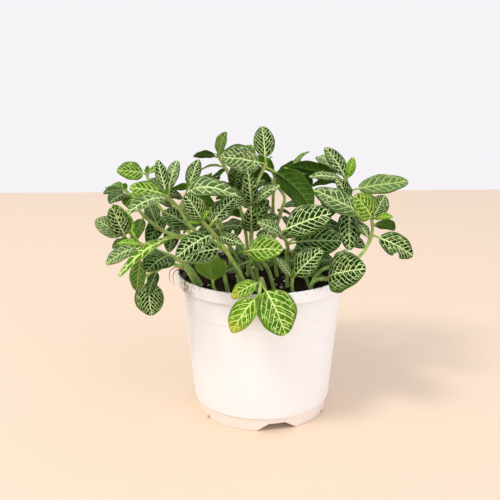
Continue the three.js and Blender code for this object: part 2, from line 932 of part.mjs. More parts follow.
// The pot: one revolved wall, with its foot notched and its floor drilled.
function potGeometry() {
  const profile = [
    [0, FLOOR_BOTTOM],
    [FOOT_RADIUS - FOOT_WALL, FLOOR_BOTTOM],
    [FOOT_RADIUS - FOOT_WALL, 0],
    [FOOT_RADIUS, 0],
    [FOOT_TOP_RADIUS, FOOT_HEIGHT],
    [BODY_BOTTOM_RADIUS, FOOT_HEIGHT + STEP_SLOPE],
    [BODY_TOP_RADIUS, POT_HEIGHT - NECK_DEPTH - STEP_SLOPE],
    [NECK_BOTTOM_RADIUS, POT_HEIGHT - NECK_DEPTH],
    [NECK_TOP_RADIUS, POT_HEIGHT - LIP_DEPTH],
    [RIM_RADIUS, POT_HEIGHT - LIP_DEPTH],
    [RIM_RADIUS, POT_HEIGHT - LIP_CHAMFER],
    [RIM_RADIUS - LIP_CHAMFER, POT_HEIGHT],
    [RIM_RADIUS - WALL, POT_HEIGHT],
    [RIM_RADIUS - WALL, POT_HEIGHT - LIP_DEPTH + WALL],
    ...[...INNER_WALL].reverse(),
    [0, FLOOR_TOP],
  ].map(([radius, height]) => new THREE.Vector2(radius, height));
  let solid = toSolid(standing(new THREE.LatheGeometry(profile, POT_SIDES)));
  for (const notch of [WIDE_NOTCH, SMALL_NOTCH]) {
    for (let turn = 0; turn < NOTCHES_ROUND_FOOT; turn += 1) {
      solid = solid.subtract(notchSolid(notch, notch.angle + (360 / NOTCHES_ROUND_FOOT) * turn));
    }
  }
  for (let drain = 0; drain <= DRAIN_COUNT; drain += 1) {
    const angle = (2 * Math.PI * drain) / DRAIN_COUNT;
    const out = drain < DRAIN_COUNT ? DRAIN_CIRCLE : 0;
    const hole = standing(new THREE.CylinderGeometry(DRAIN_RADIUS, DRAIN_RADIUS, 2 * FLOOR_TOP, 10));
    hole.translate(out * Math.cos(angle), out * Math.sin(angle), FLOOR_TOP);
    solid = solid.subtract(toSolid(hole));
  }
  return toGeometry(solid);
}

// ---- Soil ---------------------------------------------------------------------------------

// The soil's surface: broad swells with smaller lumps on them.
function soilHeight(x, y) {
  const swell = SOIL_SWELL * Math.sin(0.16 * x + 0.7) * Math.cos(0.14 * y - 0.4);
  const lumps = SOIL_LUMP * Math.sin(0.33 * x - 0.25 * y + 1.2) * Math.cos(0.3 * y + 0.21 * x);
  return SOIL_TOP + swell + lumps;
}

// The soil fills the pot to SOIL_TOP and has a hole for the foot of each stem.
function soilGeometry(stems) {
  const wallTop = INNER_WALL[INNER_WALL.length - 1];
  const wallBelow = INNER_WALL[INNER_WALL.length - 2];
  const share = (SOIL_TOP - wallBelow[1]) / (wallTop[1] - wallBelow[1]);
  const edge = wallBelow[0] + (wallTop[0] - wallBelow[0]) * share - SOIL_GAP;
  const circle = (radius, height) => {
    const ring = [];
    for (let i = 0; i < SOIL_SIDES; i += 1) {
      const angle = (2 * Math.PI * i) / SOIL_SIDES;
      const x = radius * Math.cos(angle);
      const y = radius * Math.sin(angle);
      ring.push(new THREE.Vector3(x, y, height ?? soilHeight(x, y)));
    }
    return ring;
  };
  const rings = INNER_WALL.slice(0, -1).map(([radius, height]) => circle(radius - SOIL_GAP, height));
  rings[0] = circle(INNER_WALL[0][0] - SOIL_GAP, FLOOR_TOP + SOIL_GAP);
  rings.push(circle(edge, SOIL_TOP - SOIL_SWELL));
  for (const radius of [...SOIL_RINGS].reverse()) {
    rings.push(circle(radius));
  }
  let solid = toSolid(skin(rings));
  for (const stem of stems) {
    const { places, radii } = shootRings(stem.shoots[0].points, HOLE_GAP);
    const down = places[0].clone().sub(places[1]).normalize();
    places[0].addScaledVector(down, HOLE_GAP);
    const hole = tube(places.slice(0, HOLE_RINGS), radii.slice(0, HOLE_RINGS), STEM_SIDES);
    solid = solid.subtract(toSolid(hole));
  }
  return toGeometry(solid);
}

// ---- Leafy stems --------------------------------------------------------------------------

// A stem with its leaves as one body. Scraps that the joining leaves behind are dropped.
function stemGeometry(stem) {
  const solids = [];
  for (const shoot of stem.shoots) {
    const { places, radii } = shootRings(shoot.points);
    solids.push(toSolid(tube(places, radii, STEM_SIDES)));
    for (const leaf of shoot.leaves) {
      solids.push(toSolid(leafGeometry(leaf)));
    }
  }
  const bodies = wasm.Manifold.union(solids).decompose();
  bodies.sort((one, other) => other.volume() - one.volume());
  return toGeometry(bodies[0]);
}

// ---- Assembly -----------------------------------------------------------------------------

const whitePlastic = new THREE.MeshStandardMaterial({ color: "#f2efe8", roughness: 0.45, metalness: 0 });
const peat = new THREE.MeshStandardMaterial({ color: "#33241a", roughness: 1, metalness: 0 });
const foliage = new THREE.MeshStandardMaterial({ color: "#3f7d2b", roughness: 0.55, metalness: 0 });

function named(name, geometry, material) {
  const mesh = new THREE.Mesh(geometry, material);
  mesh.name = name;
  return mesh;
}

const stems = planPlant();
const plant = new THREE.Group();
plant.add(named("pot", potGeometry(), whitePlastic));
plant.add(named("soil", soilGeometry(stems), peat));
for (const stem of stems) {
  plant.add(named(stem.name, stemGeometry(stem), foliage));
}

export default plant;
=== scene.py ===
# A nerve plant (Fittonia) in a white 10.5 cm nursery pot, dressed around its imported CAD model.
# Metres, +Z up. The photographed side faces -Y, and the pot stands on z = 0.
import json
from math import cos, floor, hypot, pi, radians, sin

import bpy
import numpy as np
from mathutils import Matrix, Vector, noise

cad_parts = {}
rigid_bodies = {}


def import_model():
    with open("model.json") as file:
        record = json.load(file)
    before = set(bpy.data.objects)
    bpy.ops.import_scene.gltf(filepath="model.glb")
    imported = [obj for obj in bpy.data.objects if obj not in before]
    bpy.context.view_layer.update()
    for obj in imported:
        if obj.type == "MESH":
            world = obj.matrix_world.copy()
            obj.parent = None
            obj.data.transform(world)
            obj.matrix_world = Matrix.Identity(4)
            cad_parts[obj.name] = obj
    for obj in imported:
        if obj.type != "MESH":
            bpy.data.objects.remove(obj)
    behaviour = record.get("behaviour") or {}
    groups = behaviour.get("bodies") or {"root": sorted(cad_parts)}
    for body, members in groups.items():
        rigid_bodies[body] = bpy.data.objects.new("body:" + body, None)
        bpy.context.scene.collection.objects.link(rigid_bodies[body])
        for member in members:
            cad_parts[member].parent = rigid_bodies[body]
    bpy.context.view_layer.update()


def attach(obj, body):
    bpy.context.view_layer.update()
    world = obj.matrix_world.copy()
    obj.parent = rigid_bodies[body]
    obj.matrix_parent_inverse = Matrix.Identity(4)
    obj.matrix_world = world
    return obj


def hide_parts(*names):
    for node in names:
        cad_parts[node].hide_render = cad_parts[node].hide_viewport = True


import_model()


# ---- The photograph's view ------------------------------------------------------------------
# A normal lens looks down a little on the plant from in front. Its place, pitch and roll are
# those that lay the pot's rim, neck and foot over the photographed ones.

# Sizes of the pot and the plant are in millimetres until MM or new_piece turns them into metres.
MM = 0.001
LENS = 50
SENSOR = 36
CAMERA_PLACE = Vector((-6.9, -417, 211)) * MM
CAMERA_PITCH = radians(14.67)
CAMERA_ROLL = radians(-0.40)

lens = bpy.data.cameras.new("photograph_view")
lens.lens = LENS
lens.sensor_width = SENSOR
lens.clip_start = 0.01
camera = bpy.data.objects.new("photograph_view", lens)
tilt = Matrix.Rotation(pi / 2 - CAMERA_PITCH, 4, "X") @ Matrix.Rotation(CAMERA_ROLL, 4, "Z")
camera.matrix_world = Matrix.Translation(CAMERA_PLACE) @ tilt
bpy.context.collection.objects.link(camera)
bpy.context.scene.camera = camera


# ---- The table top and the light --------------------------------------------------------------
# A pale table top that ends behind the plant, before a paler wall that is only the world's
# colour. Broad soft windows light it from the left and, less, from the right. A room fills in.

TABLE_REACH = 3.0
TABLE_BACK = 0.80
TABLE_COLOUR = "#EED9C2"
WALL_COLOUR = "#F6F3F7"
ROOM_BRIGHTNESS = 0.92
WINDOW_DISTANCE = 2.4

# Each window has a direction from the plant, a width in metres, a power in watts and a colour.
# WINDOW_DISTANCE, like the table's sizes, is in metres too.
WINDOWS = {
    "left_window": ((-0.48, -0.45, 0.76), 0.5, 26.0, "#FFF9F0"),
    "right_window": ((0.85, -0.80, 0.30), 1.1, 11.0, "#EEF4FF"),
}
PLANT_MIDDLE = Vector((0, 0, 0.10))


def linear(colour):
    """An sRGB hex colour as linear red, green, blue and alpha."""
    parts = [int(colour[i:i + 2], 16) / 255 for i in (1, 3, 5)]
    return [c / 12.92 if c <= 0.04045 else ((c + 0.055) / 1.055) ** 2.4 for c in parts] + [1.0]


def feed(node, inputs):
    """Sets inputs of a node, by name or number, each to a value, to a hex colour, or to what feeds
    it: a socket, or a node's first output."""
    for socket, value in inputs.items():
        if isinstance(value, str) and value.startswith("#"):
            value = linear(value)
        if isinstance(value, bpy.types.Node):
            value = next(output for output in value.outputs if output.enabled)
        if isinstance(value, bpy.types.NodeSocket):
            node.id_data.links.new(value, node.inputs[socket])
        else:
            node.inputs[socket].default_value = value


def add(tree, kind, inputs=None, **settings):
    """Adds a node with its settings, and feeds its inputs."""
    node = tree.nodes.new(kind)
    for name, value in settings.items():
        setattr(node, name, value)
    feed(node, inputs or {})
    return node


def new_material(name):
    """An empty Principled material, its node tree and its shader."""
    material = bpy.data.materials.new(name)
    material.use_nodes = True
    return material, material.node_tree, material.node_tree.nodes["Principled BSDF"]


def new_piece(name, vertices, faces, materials):
    """A smooth mesh object at the origin. Its points are given in millimetres."""
    mesh = bpy.data.meshes.new(name)
    mesh.from_pydata(np.asarray(vertices, float) * MM, [], faces)
    for material in materials:
        mesh.materials.append(material)
    mesh.shade_smooth()
    piece = bpy.data.objects.new(name, mesh)
    bpy.context.collection.objects.link(piece)
    return piece


table_finish, _, shader = new_material("pale_table_top")
feed(shader, {"Base Color": TABLE_COLOUR, "Roughness": 0.6, "Specular IOR Level": 0.3})
reach, back = TABLE_REACH / MM, TABLE_BACK / MM
corners = [(-reach, -reach, 0), (reach, -reach, 0), (reach, back, 0), (-reach, back, 0)]
new_piece("table_top", corners, [(0, 1, 2, 3)], [table_finish])

world = bpy.data.worlds.new("pale_room")
bpy.context.scene.world = world
world.use_nodes = True
seen = add(world.node_tree, "ShaderNodeLightPath").outputs["Is Camera Ray"]
brightness = add(world.node_tree, "ShaderNodeMapRange", {
    "Value": seen, "To Min": ROOM_BRIGHTNESS, "To Max": 1.0})
feed(world.node_tree.nodes["Background"], {"Color": WALL_COLOUR, "Strength": brightness})

for name, (direction, width, power, colour) in WINDOWS.items():
    window = bpy.data.lights.new(name, "AREA")
    window.size = width
    window.energy = power
    window.color = linear(colour)[:3]
    direction = Vector(direction).normalized()
    window_light = bpy.data.objects.new(name, window)
    window_light.location = PLANT_MIDDLE + direction * WINDOW_DISTANCE
    window_light.rotation_euler = direction.to_track_quat("Z", "Y").to_euler()
    bpy.context.collection.objects.link(window_light)
bpy.context.scene.view_settings.view_transform = "Standard"


# ---- The pot ----------------------------------------------------------------------------------
# A nursery pot injection-moulded in white polypropylene: one thin wall with a deep lip, a neck,
# a tapered body and a foot ring, which is notched to let water out from under the drained floor.

RIM_RADIUS = 52.5
POT_HEIGHT = 90
LIP_DEPTH = 7
NECK_TOP_RADIUS = 50
NECK_DEPTH = 21.5
NECK_BOTTOM_RADIUS = 49.2
BODY_TOP_RADIUS = 48.6
BODY_BOTTOM_RADIUS = 43.2
FOOT_HEIGHT = 8.5
FOOT_TOP_RADIUS = 42
FOOT_RADIUS = 41
STEP_SLOPE = 0.5
WALL = 1.3
FOOT_WALL = 1.8
FLOOR_TOP = 7.6
FLOOR_BOTTOM = 6.2
POT_SIDES = 192
SHARP_ANGLE = 35
LONGEST_ROUNDING = 0.45
DRAIN_COUNT = 6
DRAIN_RADIUS = 3.5
DRAIN_CIRCLE = 28
DRAIN_SIDES = 32
WIDE_NOTCH = {"angle": 12, "bottom": 25, "top": 10, "height": 5}
SMALL_NOTCH = {"angle": -54, "bottom": 3, "top": 2.4, "height": 2}
NOTCHES_ROUND_FOOT = 3
NOTCH_DEPTH = 20

# The marks on the pot: dust on the lip, a smear, a painted reflection of the table on the foot, and peat
# splash marks inside that thicken into painted shade. A pair says where a mark starts to show and where it
# is full: a height, a distance from the smear's middle, or how far out the wall there faces (less is further
# inward).
DUSTY_LIP = (86.5 * MM, 91.5 * MM)
# The foot ring's cream wash is a painted reflection of the pale table top.
FOOT_TABLE_REFLECTION = (9.2 * MM, 8.0 * MM)
SMEAR_PLACE = Vector((-45.5, -26, 88)) * MM
SMEAR_REACH = (13 * MM, 3 * MM)
SPLASHED_AND_SHADED_FROM = 76 * MM
# Peat splash marks on the inner wall grow denser downwards into painted shade above the soil.
SPLASHES_AND_SHADE_THICKEN = (89.7 * MM, 84.0 * MM)
FACING_INWARD = (20 * MM, 5 * MM)

# Each corner of the wall is a radius, a height and how far the corner is rounded.
INNER_WALL = [
    (FOOT_TOP_RADIUS - WALL, FLOOR_TOP, 0.6),
    (BODY_BOTTOM_RADIUS - WALL, FOOT_HEIGHT + 2 * STEP_SLOPE, 0.6),
    (BODY_TOP_RADIUS - WALL, POT_HEIGHT - NECK_DEPTH - 2 * STEP_SLOPE, 0.3),
    (NECK_BOTTOM_RADIUS - WALL, POT_HEIGHT - NECK_DEPTH, 0.3),
    (NECK_TOP_RADIUS - WALL, POT_HEIGHT - LIP_DEPTH - WALL, 0.6),
]
OUTER_WALL = [
    (FOOT_RADIUS - FOOT_WALL, FLOOR_BOTTOM, 0.4),
    (FOOT_RADIUS - FOOT_WALL, 0, 0.3),
    (FOOT_RADIUS, 0, 0.5),
    (FOOT_TOP_RADIUS, FOOT_HEIGHT, 0.15),
    (BODY_BOTTOM_RADIUS, FOOT_HEIGHT + STEP_SLOPE, 0.5),
    (BODY_TOP_RADIUS, POT_HEIGHT - NECK_DEPTH - STEP_SLOPE, 0.15),
    (NECK_BOTTOM_RADIUS, POT_HEIGHT - NECK_DEPTH, 0.3),
    (NECK_TOP_RADIUS, POT_HEIGHT - LIP_DEPTH, 0.5),
    (RIM_RADIUS, POT_HEIGHT - LIP_DEPTH, 0.35),
    (RIM_RADIUS, POT_HEIGHT, 0.6),
    (RIM_RADIUS - WALL, POT_HEIGHT, 0.55),
    (RIM_RADIUS - WALL, POT_HEIGHT - LIP_DEPTH + WALL, 0.5),
]


def rounded(corners, steps=4):
    """The outline through (radius, height, rounding) corners, each inner one turned as an arc."""
    outline = [corners[0][:2]]
    for before, corner, after in zip(corners, corners[1:], corners[2:]):
        here = Vector(corner[:2])
        back, on = Vector(before[:2]) - here, Vector(after[:2]) - here
        reach = min(corner[2], LONGEST_ROUNDING * back.length, LONGEST_ROUNDING * on.length)
        start, end = here + back.normalized() * reach, here + on.normalized() * reach
        for step in range(steps + 1):
            t = step / steps
            outline.append(tuple(start * (1 - t) ** 2 + here * 2 * t * (1 - t) + end * t * t))
    return outline + [corners[-1][:2]]


def revolve(outline, sides):
    """A closed skin: the outline [(radius, height)], from axis to axis, turned about Z."""
    vertices, rings, faces = [], [], []
    for radius, height in outline:
        count = sides if radius > 0 else 1
        rings.append(range(len(vertices), len(vertices) + count))
        for i in range(count):
            angle = 2 * pi * i / sides
            vertices.append((radius * cos(angle), radius * sin(angle), height))
    for low, high in zip(rings, rings[1:]):
        for i in range(sides):
            corners = ((low, i), (low, i + 1), (high, i + 1), (high, i))
            faces.append(tuple(dict.fromkeys(ring[corner % len(ring)] for ring, corner in corners)))
    return vertices, faces


def prism(outline, start, end):
    """A closed prism: the outline [(x, y)] pushed from start to end along Z."""
    count = len(outline)
    vertices = [(x, y, start) for x, y in outline] + [(x, y, end) for x, y in outline]
    faces = [(i, (i + 1) % count, count + (i + 1) % count, count + i) for i in range(count)]
    return vertices, faces + [tuple(reversed(range(count))), tuple(range(count, 2 * count))]


def notch_cutter(notch, angle):
    """A trapezoid pushed through the foot ring at an angle from the front."""
    low, high, height = notch["bottom"] / 2, notch["top"] / 2, notch["height"]
    outline = [(-low, -1), (low, -1), (low, 0), (high, height), (-high, height), (-low, 0)]
    vertices, faces = prism(outline, FOOT_TOP_RADIUS + 2 - NOTCH_DEPTH, FOOT_TOP_RADIUS + 2)
    turn = Matrix.Rotation(radians(angle), 3, "Z") @ Matrix.Rotation(pi / 2, 3, "X")
    return new_piece("notch_cutter", [turn @ Vector(v) for v in vertices], faces, [])


def drain_cutter(x, y):
    """A round plug that stands through the pot's floor."""
    ring = [2 * pi * i / DRAIN_SIDES for i in range(DRAIN_SIDES)]
    outline = [(x + DRAIN_RADIUS * cos(a), y + DRAIN_RADIUS * sin(a)) for a in ring]
    return new_piece("drain_cutter", *prism(outline, 0, 2 * FLOOR_TOP), [])


def settled(piece):
    """Turns a piece into the plain mesh that its modifiers make."""
    graph = bpy.context.evaluated_depsgraph_get()
    mesh = bpy.data.meshes.new_from_object(piece.evaluated_get(graph), depsgraph=graph)
    piece.modifiers.clear()
    piece.data = mesh
    return piece


def white_polypropylene():
    """Moulded polypropylene: a milky white skin with a soft gloss, scuffed where it is handled, with a
    little dust on the lip, a cream painted reflection of the table on the foot, and peat splash marks inside
    that thicken into painted shade down the inner wall. Its clouds are 22 mm wide.
    Scuffs and dust are finer than the render shows, so they are drawn 2.5 mm wide."""
    material, tree, shader = new_material("moulded_white_polypropylene")
    coordinates = add(tree, "ShaderNodeTexCoord").outputs
    place, facing = coordinates["Object"], coordinates["Normal"]
    height = add(tree, "ShaderNodeSeparateXYZ", {0: place}).outputs["Z"]
    cloud = add(tree, "ShaderNodeTexNoise", {"Vector": place, "Scale": 1 / (22 * MM), "Detail": 4})
    grain = add(tree, "ShaderNodeTexNoise", {"Vector": place, "Scale": 1 / (2.5 * MM), "Detail": 6})
    from_smear = add(tree, "ShaderNodeVectorMath", {0: place, 1: SMEAR_PLACE}, operation="DISTANCE")
    level = add(tree, "ShaderNodeVectorMath", {0: place, 1: (1, 1, 0)}, operation="MULTIPLY")
    outward = add(tree, "ShaderNodeVectorMath", {0: level, 1: facing}, operation="DOT_PRODUCT")
    fades = {"lip": (height, DUSTY_LIP), "dusty": (grain, (0.50, 0.72)), "foot": (height, FOOT_TABLE_REFLECTION),
             "near_smear": (from_smear, SMEAR_REACH), "smeared": (grain, (0.40, 0.60)),
             "inward": (outward, FACING_INWARD), "low": (height, SPLASHES_AND_SHADE_THICKEN)}
    mask = {name: add(tree, "ShaderNodeMapRange", {"Value": value, "From Min": start, "From Max": full})
            for name, (value, (start, full)) in fades.items()}
    high = add(tree, "ShaderNodeMath", {0: height, 1: SPLASHED_AND_SHADED_FROM}, operation="GREATER_THAN")
    inside = add(tree, "ShaderNodeMath", {0: mask["inward"], 1: high}, operation="MULTIPLY")
    # Peat splash marks, thickening into painted shade deeper in the pot.
    splash_and_shade = add(tree, "ShaderNodeMath", {0: mask["low"], 1: 0.45, 2: grain}, operation="MULTIPLY_ADD")
    splashed_and_shaded = add(tree, "ShaderNodeMapRange", {"Value": splash_and_shade, "From Min": 0.54, "From Max": 0.68})
    colour = add(tree, "ShaderNodeMix", {"Factor": cloud, "A": "#F3F5F7", "B": "#FAFCFF"}, data_type="RGBA")
    # The cream on the foot is a painted reflection of the table top; the peat splash marks inside thicken
    # into painted shade towards the soil.
    layers = ((mask["lip"], mask["dusty"], "#A58B66"), (mask["near_smear"], mask["smeared"], "#8E8253"),
              (mask["foot"], 0.45, "#EFD6BC"), (inside, splashed_and_shaded, "#2B2016"))
    for where, how_much, tint in layers:
        share = add(tree, "ShaderNodeMath", {0: where, 1: how_much}, operation="MULTIPLY")
        colour = add(tree, "ShaderNodeMix", {"Factor": share, "A": colour, "B": tint}, data_type="RGBA")
    scuffs = add(tree, "ShaderNodeMapRange", {"Value": grain, "To Min": 0.30, "To Max": 0.50})
    bump = add(tree, "ShaderNodeBump", {"Height": grain, "Strength": 0.12, "Distance": 0.1 * MM})
    feed(shader, {"Base Color": colour, "Roughness": scuffs, "Normal": bump, "IOR": 1.49,
                  "Subsurface Weight": 0.25, "Subsurface Radius": (1.0, 0.9, 0.75),
                  "Subsurface Scale": 2.5 * MM})
    return material


pot_wall = rounded([(0, FLOOR_BOTTOM, 0)] + OUTER_WALL + INNER_WALL[::-1] + [(0, FLOOR_TOP, 0)])
pot = new_piece("nursery_pot", *revolve(pot_wall, POT_SIDES), [white_polypropylene()])
cutters = bpy.data.collections.new("cutters")
for notch in (WIDE_NOTCH, SMALL_NOTCH):
    for turn in range(NOTCHES_ROUND_FOOT):
        cutters.objects.link(notch_cutter(notch, notch["angle"] + 360 / NOTCHES_ROUND_FOOT * turn))
cutters.objects.link(drain_cutter(0, 0))
for drain in range(DRAIN_COUNT):
    angle = 2 * pi * drain / DRAIN_COUNT
    cutters.objects.link(drain_cutter(DRAIN_CIRCLE * cos(angle), DRAIN_CIRCLE * sin(angle)))
cut = pot.modifiers.new("notches_and_drains", "BOOLEAN")
cut.operation = "DIFFERENCE"
cut.operand_type = "COLLECTION"
cut.collection = cutters
cut.solver = "MANIFOLD"
settled(pot)
pot.data.shade_smooth()
pot.data.set_sharp_from_angle(angle=radians(SHARP_ANGLE))
for cutter in list(cutters.objects):
    bpy.data.objects.remove(cutter)
bpy.data.collections.remove(cutters)
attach(pot, "root")
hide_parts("pot")


# ---- The soil ---------------------------------------------------------------------------------
# Moist dark peat that fills the pot to below its lip. Its surface is crumbs and short fibres,
# with a few white grains of perlite mixed in to keep it airy.

SOIL_TOP = 81
SOIL_GAP = 0.3
SOIL_SWELL = 0.9
SOIL_LUMP = 0.6
SOIL_SIDES = 144
SOIL_ROWS = 46
CLOD_SIZE = 4.0
CLOD_HEIGHT = 1.1
CRUMB_SIZES = (0.35 * MM, 1.5 * MM)
CRUMBS_PER_AREA = 0.50 / MM ** 2
PERLITE_SIZES = (0.6 * MM, 1.6 * MM)
PERLITE_PER_AREA = 0.005 / MM ** 2
GRAIN_DENTS = 1.6
SMALL_GRAINS = 2.5


def soil_height(x, y):
    """The height of the CAD model's soil, which swells and dips a little."""
    swell = SOIL_SWELL * sin(0.16 * x + 0.7) * cos(0.14 * y - 0.4)
    lumps = SOIL_LUMP * sin(0.33 * x - 0.25 * y + 1.2) * cos(0.3 * y + 0.21 * x)
    return SOIL_TOP + swell + lumps


def soil_body():
    """The soil as one closed skin, with its top roughened by small clods."""
    inner = [(radius - SOIL_GAP, height) for radius, height, _ in INNER_WALL]
    (neck_radius, neck_height), (top_radius, top_height) = inner[-2:]
    share = (SOIL_TOP - neck_height) / (top_height - neck_height)
    edge = neck_radius + (top_radius - neck_radius) * share
    outline = [(0, FLOOR_TOP + SOIL_GAP), (inner[0][0], FLOOR_TOP + SOIL_GAP)] + inner[1:-1]
    outline += [(edge * (1 - row / SOIL_ROWS), SOIL_TOP) for row in range(SOIL_ROWS + 1)]
    vertices, faces = revolve(outline, SOIL_SIDES)
    top_start = len(vertices) - 1 - SOIL_SIDES * SOIL_ROWS
    for i in range(top_start, len(vertices)):
        x, y, _ = vertices[i]
        clods = noise.fractal(Vector((x, y, 0)) / CLOD_SIZE, 1.0, 2.0, 4)
        vertices[i] = (x, y, soil_height(x, y) + CLOD_HEIGHT * clods)
    return vertices, faces


def moist_peat():
    """Peat: nearly black when moist, with rusty fibres. Very rough, with no gloss. Its finest crumbs
    would not show, so they are drawn 1.6 mm wide."""
    material, tree, shader = new_material("moist_peat")
    place = add(tree, "ShaderNodeTexCoord").outputs["Object"]
    clods = add(tree, "ShaderNodeTexNoise", {"Vector": place, "Scale": 1 / (1.6 * MM), "Detail": 6})
    ramp = add(tree, "ShaderNodeMapRange", {"Value": clods, "From Min": 0.35, "From Max": 0.72})
    colour = add(tree, "ShaderNodeMix", {"Factor": ramp, "A": "#120C08", "B": "#3B291B"}, data_type="RGBA")
    bump = add(tree, "ShaderNodeBump", {"Height": clods, "Strength": 0.8, "Distance": 0.5 * MM})
    feed(shader, {"Base Color": colour, "Normal": bump, "Roughness": 0.95, "Specular IOR Level": 0.2})
    return material


def perlite_grain():
    """Perlite: popped volcanic glass, chalk white and matt, and pitted all over. Each pit is painted shade,
    a darker beige drawn 0.35 mm wide so that it shows."""
    material, tree, shader = new_material("perlite")
    place = add(tree, "ShaderNodeTexCoord").outputs["Object"]
    # The pitting is painted shade: the colour turns darker beige away from each cell's centre.
    pit_shade = add(tree, "ShaderNodeTexVoronoi", {"Vector": place, "Scale": 1 / (0.35 * MM)})
    colour = add(tree, "ShaderNodeMix", {"Factor": pit_shade, "A": "#F4F1E8", "B": "#CFC8B6"}, data_type="RGBA")
    feed(shader, {"Base Color": colour, "Roughness": 0.9})
    return material


def new_tree(name, kinds):
    """An empty Geometry Nodes tree with a named input for each kind, and the sockets that give them."""
    tree = bpy.data.node_groups.new(name, "GeometryNodeTree")
    for label, kind in kinds.items():
        tree.interface.new_socket(name=label, in_out="INPUT", socket_type=f"NodeSocket{kind}")
    tree.interface.new_socket(name="Geometry", in_out="OUTPUT", socket_type="NodeSocketGeometry")
    return tree, add(tree, "NodeGroupInput").outputs


def set_out(tree, points, shape, turn, size, material):
    """Ends a tree: a copy of a shape stands on each point, turned and sized, and is made real."""
    copies = add(tree, "GeometryNodeInstanceOnPoints", {
        "Points": points, "Instance": shape, "Rotation": turn, "Scale": size})
    solid = add(tree, "GeometryNodeRealizeInstances", {"Geometry": copies})
    coated = add(tree, "GeometryNodeSetMaterial", {"Geometry": solid, "Material": material})
    add(tree, "NodeGroupOutput", {"Geometry": coated})
    return tree


def scatter_tree():
    """Geometry Nodes that lay lumpy grains on the upward faces of a mesh, most of them small."""
    tree, given = new_tree("scatter_grains", {
        "Geometry": "Geometry", "Grains per area": "Float", "Smallest": "Float", "Largest": "Float",
        "Seed": "Int", "Material": "Material"})
    facing = add(tree, "GeometryNodeInputNormal")
    rise = add(tree, "ShaderNodeSeparateXYZ", {0: facing}).outputs["Z"]
    top = add(tree, "FunctionNodeCompare", {"A": rise, "B": 0.3}, operation="GREATER_THAN")
    points = add(tree, "GeometryNodeDistributePointsOnFaces", {
        "Mesh": given["Geometry"], "Selection": top, "Density": given["Grains per area"],
        "Seed": given["Seed"]})
    pebble = add(tree, "GeometryNodeMeshIcoSphere", {"Radius": 1.0, "Subdivisions": 1})
    dents = add(tree, "ShaderNodeTexNoise", {"Scale": 1.1, "Detail": 1.0}).outputs["Color"]
    dent = add(tree, "ShaderNodeVectorMath", {0: dents, 1: (0.5, 0.5, 0.5)}, operation="SUBTRACT")
    push = add(tree, "ShaderNodeVectorMath", {0: dent, "Scale": GRAIN_DENTS}, operation="SCALE")
    grain = add(tree, "GeometryNodeSetPosition", {"Geometry": pebble, "Offset": push})
    turn = add(tree, "FunctionNodeRandomValue", {
        0: (0, 0, 0), 1: (6.28, 6.28, 6.28), "Seed": given["Seed"]}, data_type="FLOAT_VECTOR")
    draw = add(tree, "FunctionNodeRandomValue", {"Min": 0.0, "Max": 1.0, "Seed": given["Seed"]})
    mostly_small = add(tree, "ShaderNodeMath", {0: draw, 1: SMALL_GRAINS}, operation="POWER")
    size = add(tree, "ShaderNodeMapRange", {
        "Value": mostly_small, "To Min": given["Smallest"], "To Max": given["Largest"]})
    return set_out(tree, points, grain, turn, size, given["Material"])


def run_nodes(piece, tree, **values):
    """Runs a Geometry Nodes tree on a piece, with its named inputs set, and settles the result."""
    modifier = piece.modifiers.new(tree.name, "NODES")
    modifier.node_group = tree
    names = {item.name.replace(" ", "_").lower(): item.identifier for item in tree.interface.items_tree
             if item.in_out == "INPUT"}
    for name, value in values.items():
        modifier[names[name]] = value
    return settled(piece)


peat = moist_peat()
soil = new_piece("potting_soil", *soil_body(), [peat])
scatter = scatter_tree()
crumbs = new_piece("soil_crumbs", *soil_body(), [])
run_nodes(crumbs, scatter, grains_per_area=CRUMBS_PER_AREA, smallest=CRUMB_SIZES[0],
          largest=CRUMB_SIZES[1], seed=7, material=peat)
perlite = new_piece("perlite", *soil_body(), [])
run_nodes(perlite, scatter, grains_per_area=PERLITE_PER_AREA, smallest=PERLITE_SIZES[0],
          largest=PERLITE_SIZES[1], seed=4, material=perlite_grain())
for piece in (soil, crumbs, perlite):
    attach(piece, "root")
    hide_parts("soil")


# ---- The plan of the plant ----------------------------------------------------------------------
# Fittonia grows as soft stems with opposite pairs of leaves. This is the CAD model's own plan:
# each leafy stem is one of its nodes, and a leaf that would touch another is swung clear.

ROOT_Z = 71.5
STEM_STEP = 0.5
PETIOLE = 0.17
ARCH = 0.11
FOLD = 0.4
CURL = 0.28
WAVE = 0.07
WAVES_ALONG = 2.2
WAVE_SHIFT_PER_LEAF = 0.37
WAVE_SHIFT_OF_SIDE = 1.9
OUTLINE_SHIFT = 0.86
OUTLINE_FULLNESS = 0.58


def stem(name, root, shoots, faces=(0, -1)):
    """A stem leaves the soil at root. faces is the way that its leaves turn, looking down."""
    return {"name": name, "root": root, "shoots": shoots, "faces": faces}


def shoot(path, leaves, start=None):
    """A shoot runs through the points of its path. A side shoot starts on the first one."""
    return {"path": path, "rows": leaves, "start": start}


def leaf(at, x, y, z, width, front, look, arch=ARCH):
    """A leaf grows at a place on the shoot, counted in points, and its tip is at x, y, z. front is
    how far its face turns to the stem's own side, and arch its rise over its length."""
    return {"at": at, "tip": (x, y, z), "width": width, "front": front, "look": look, "arch": arch}


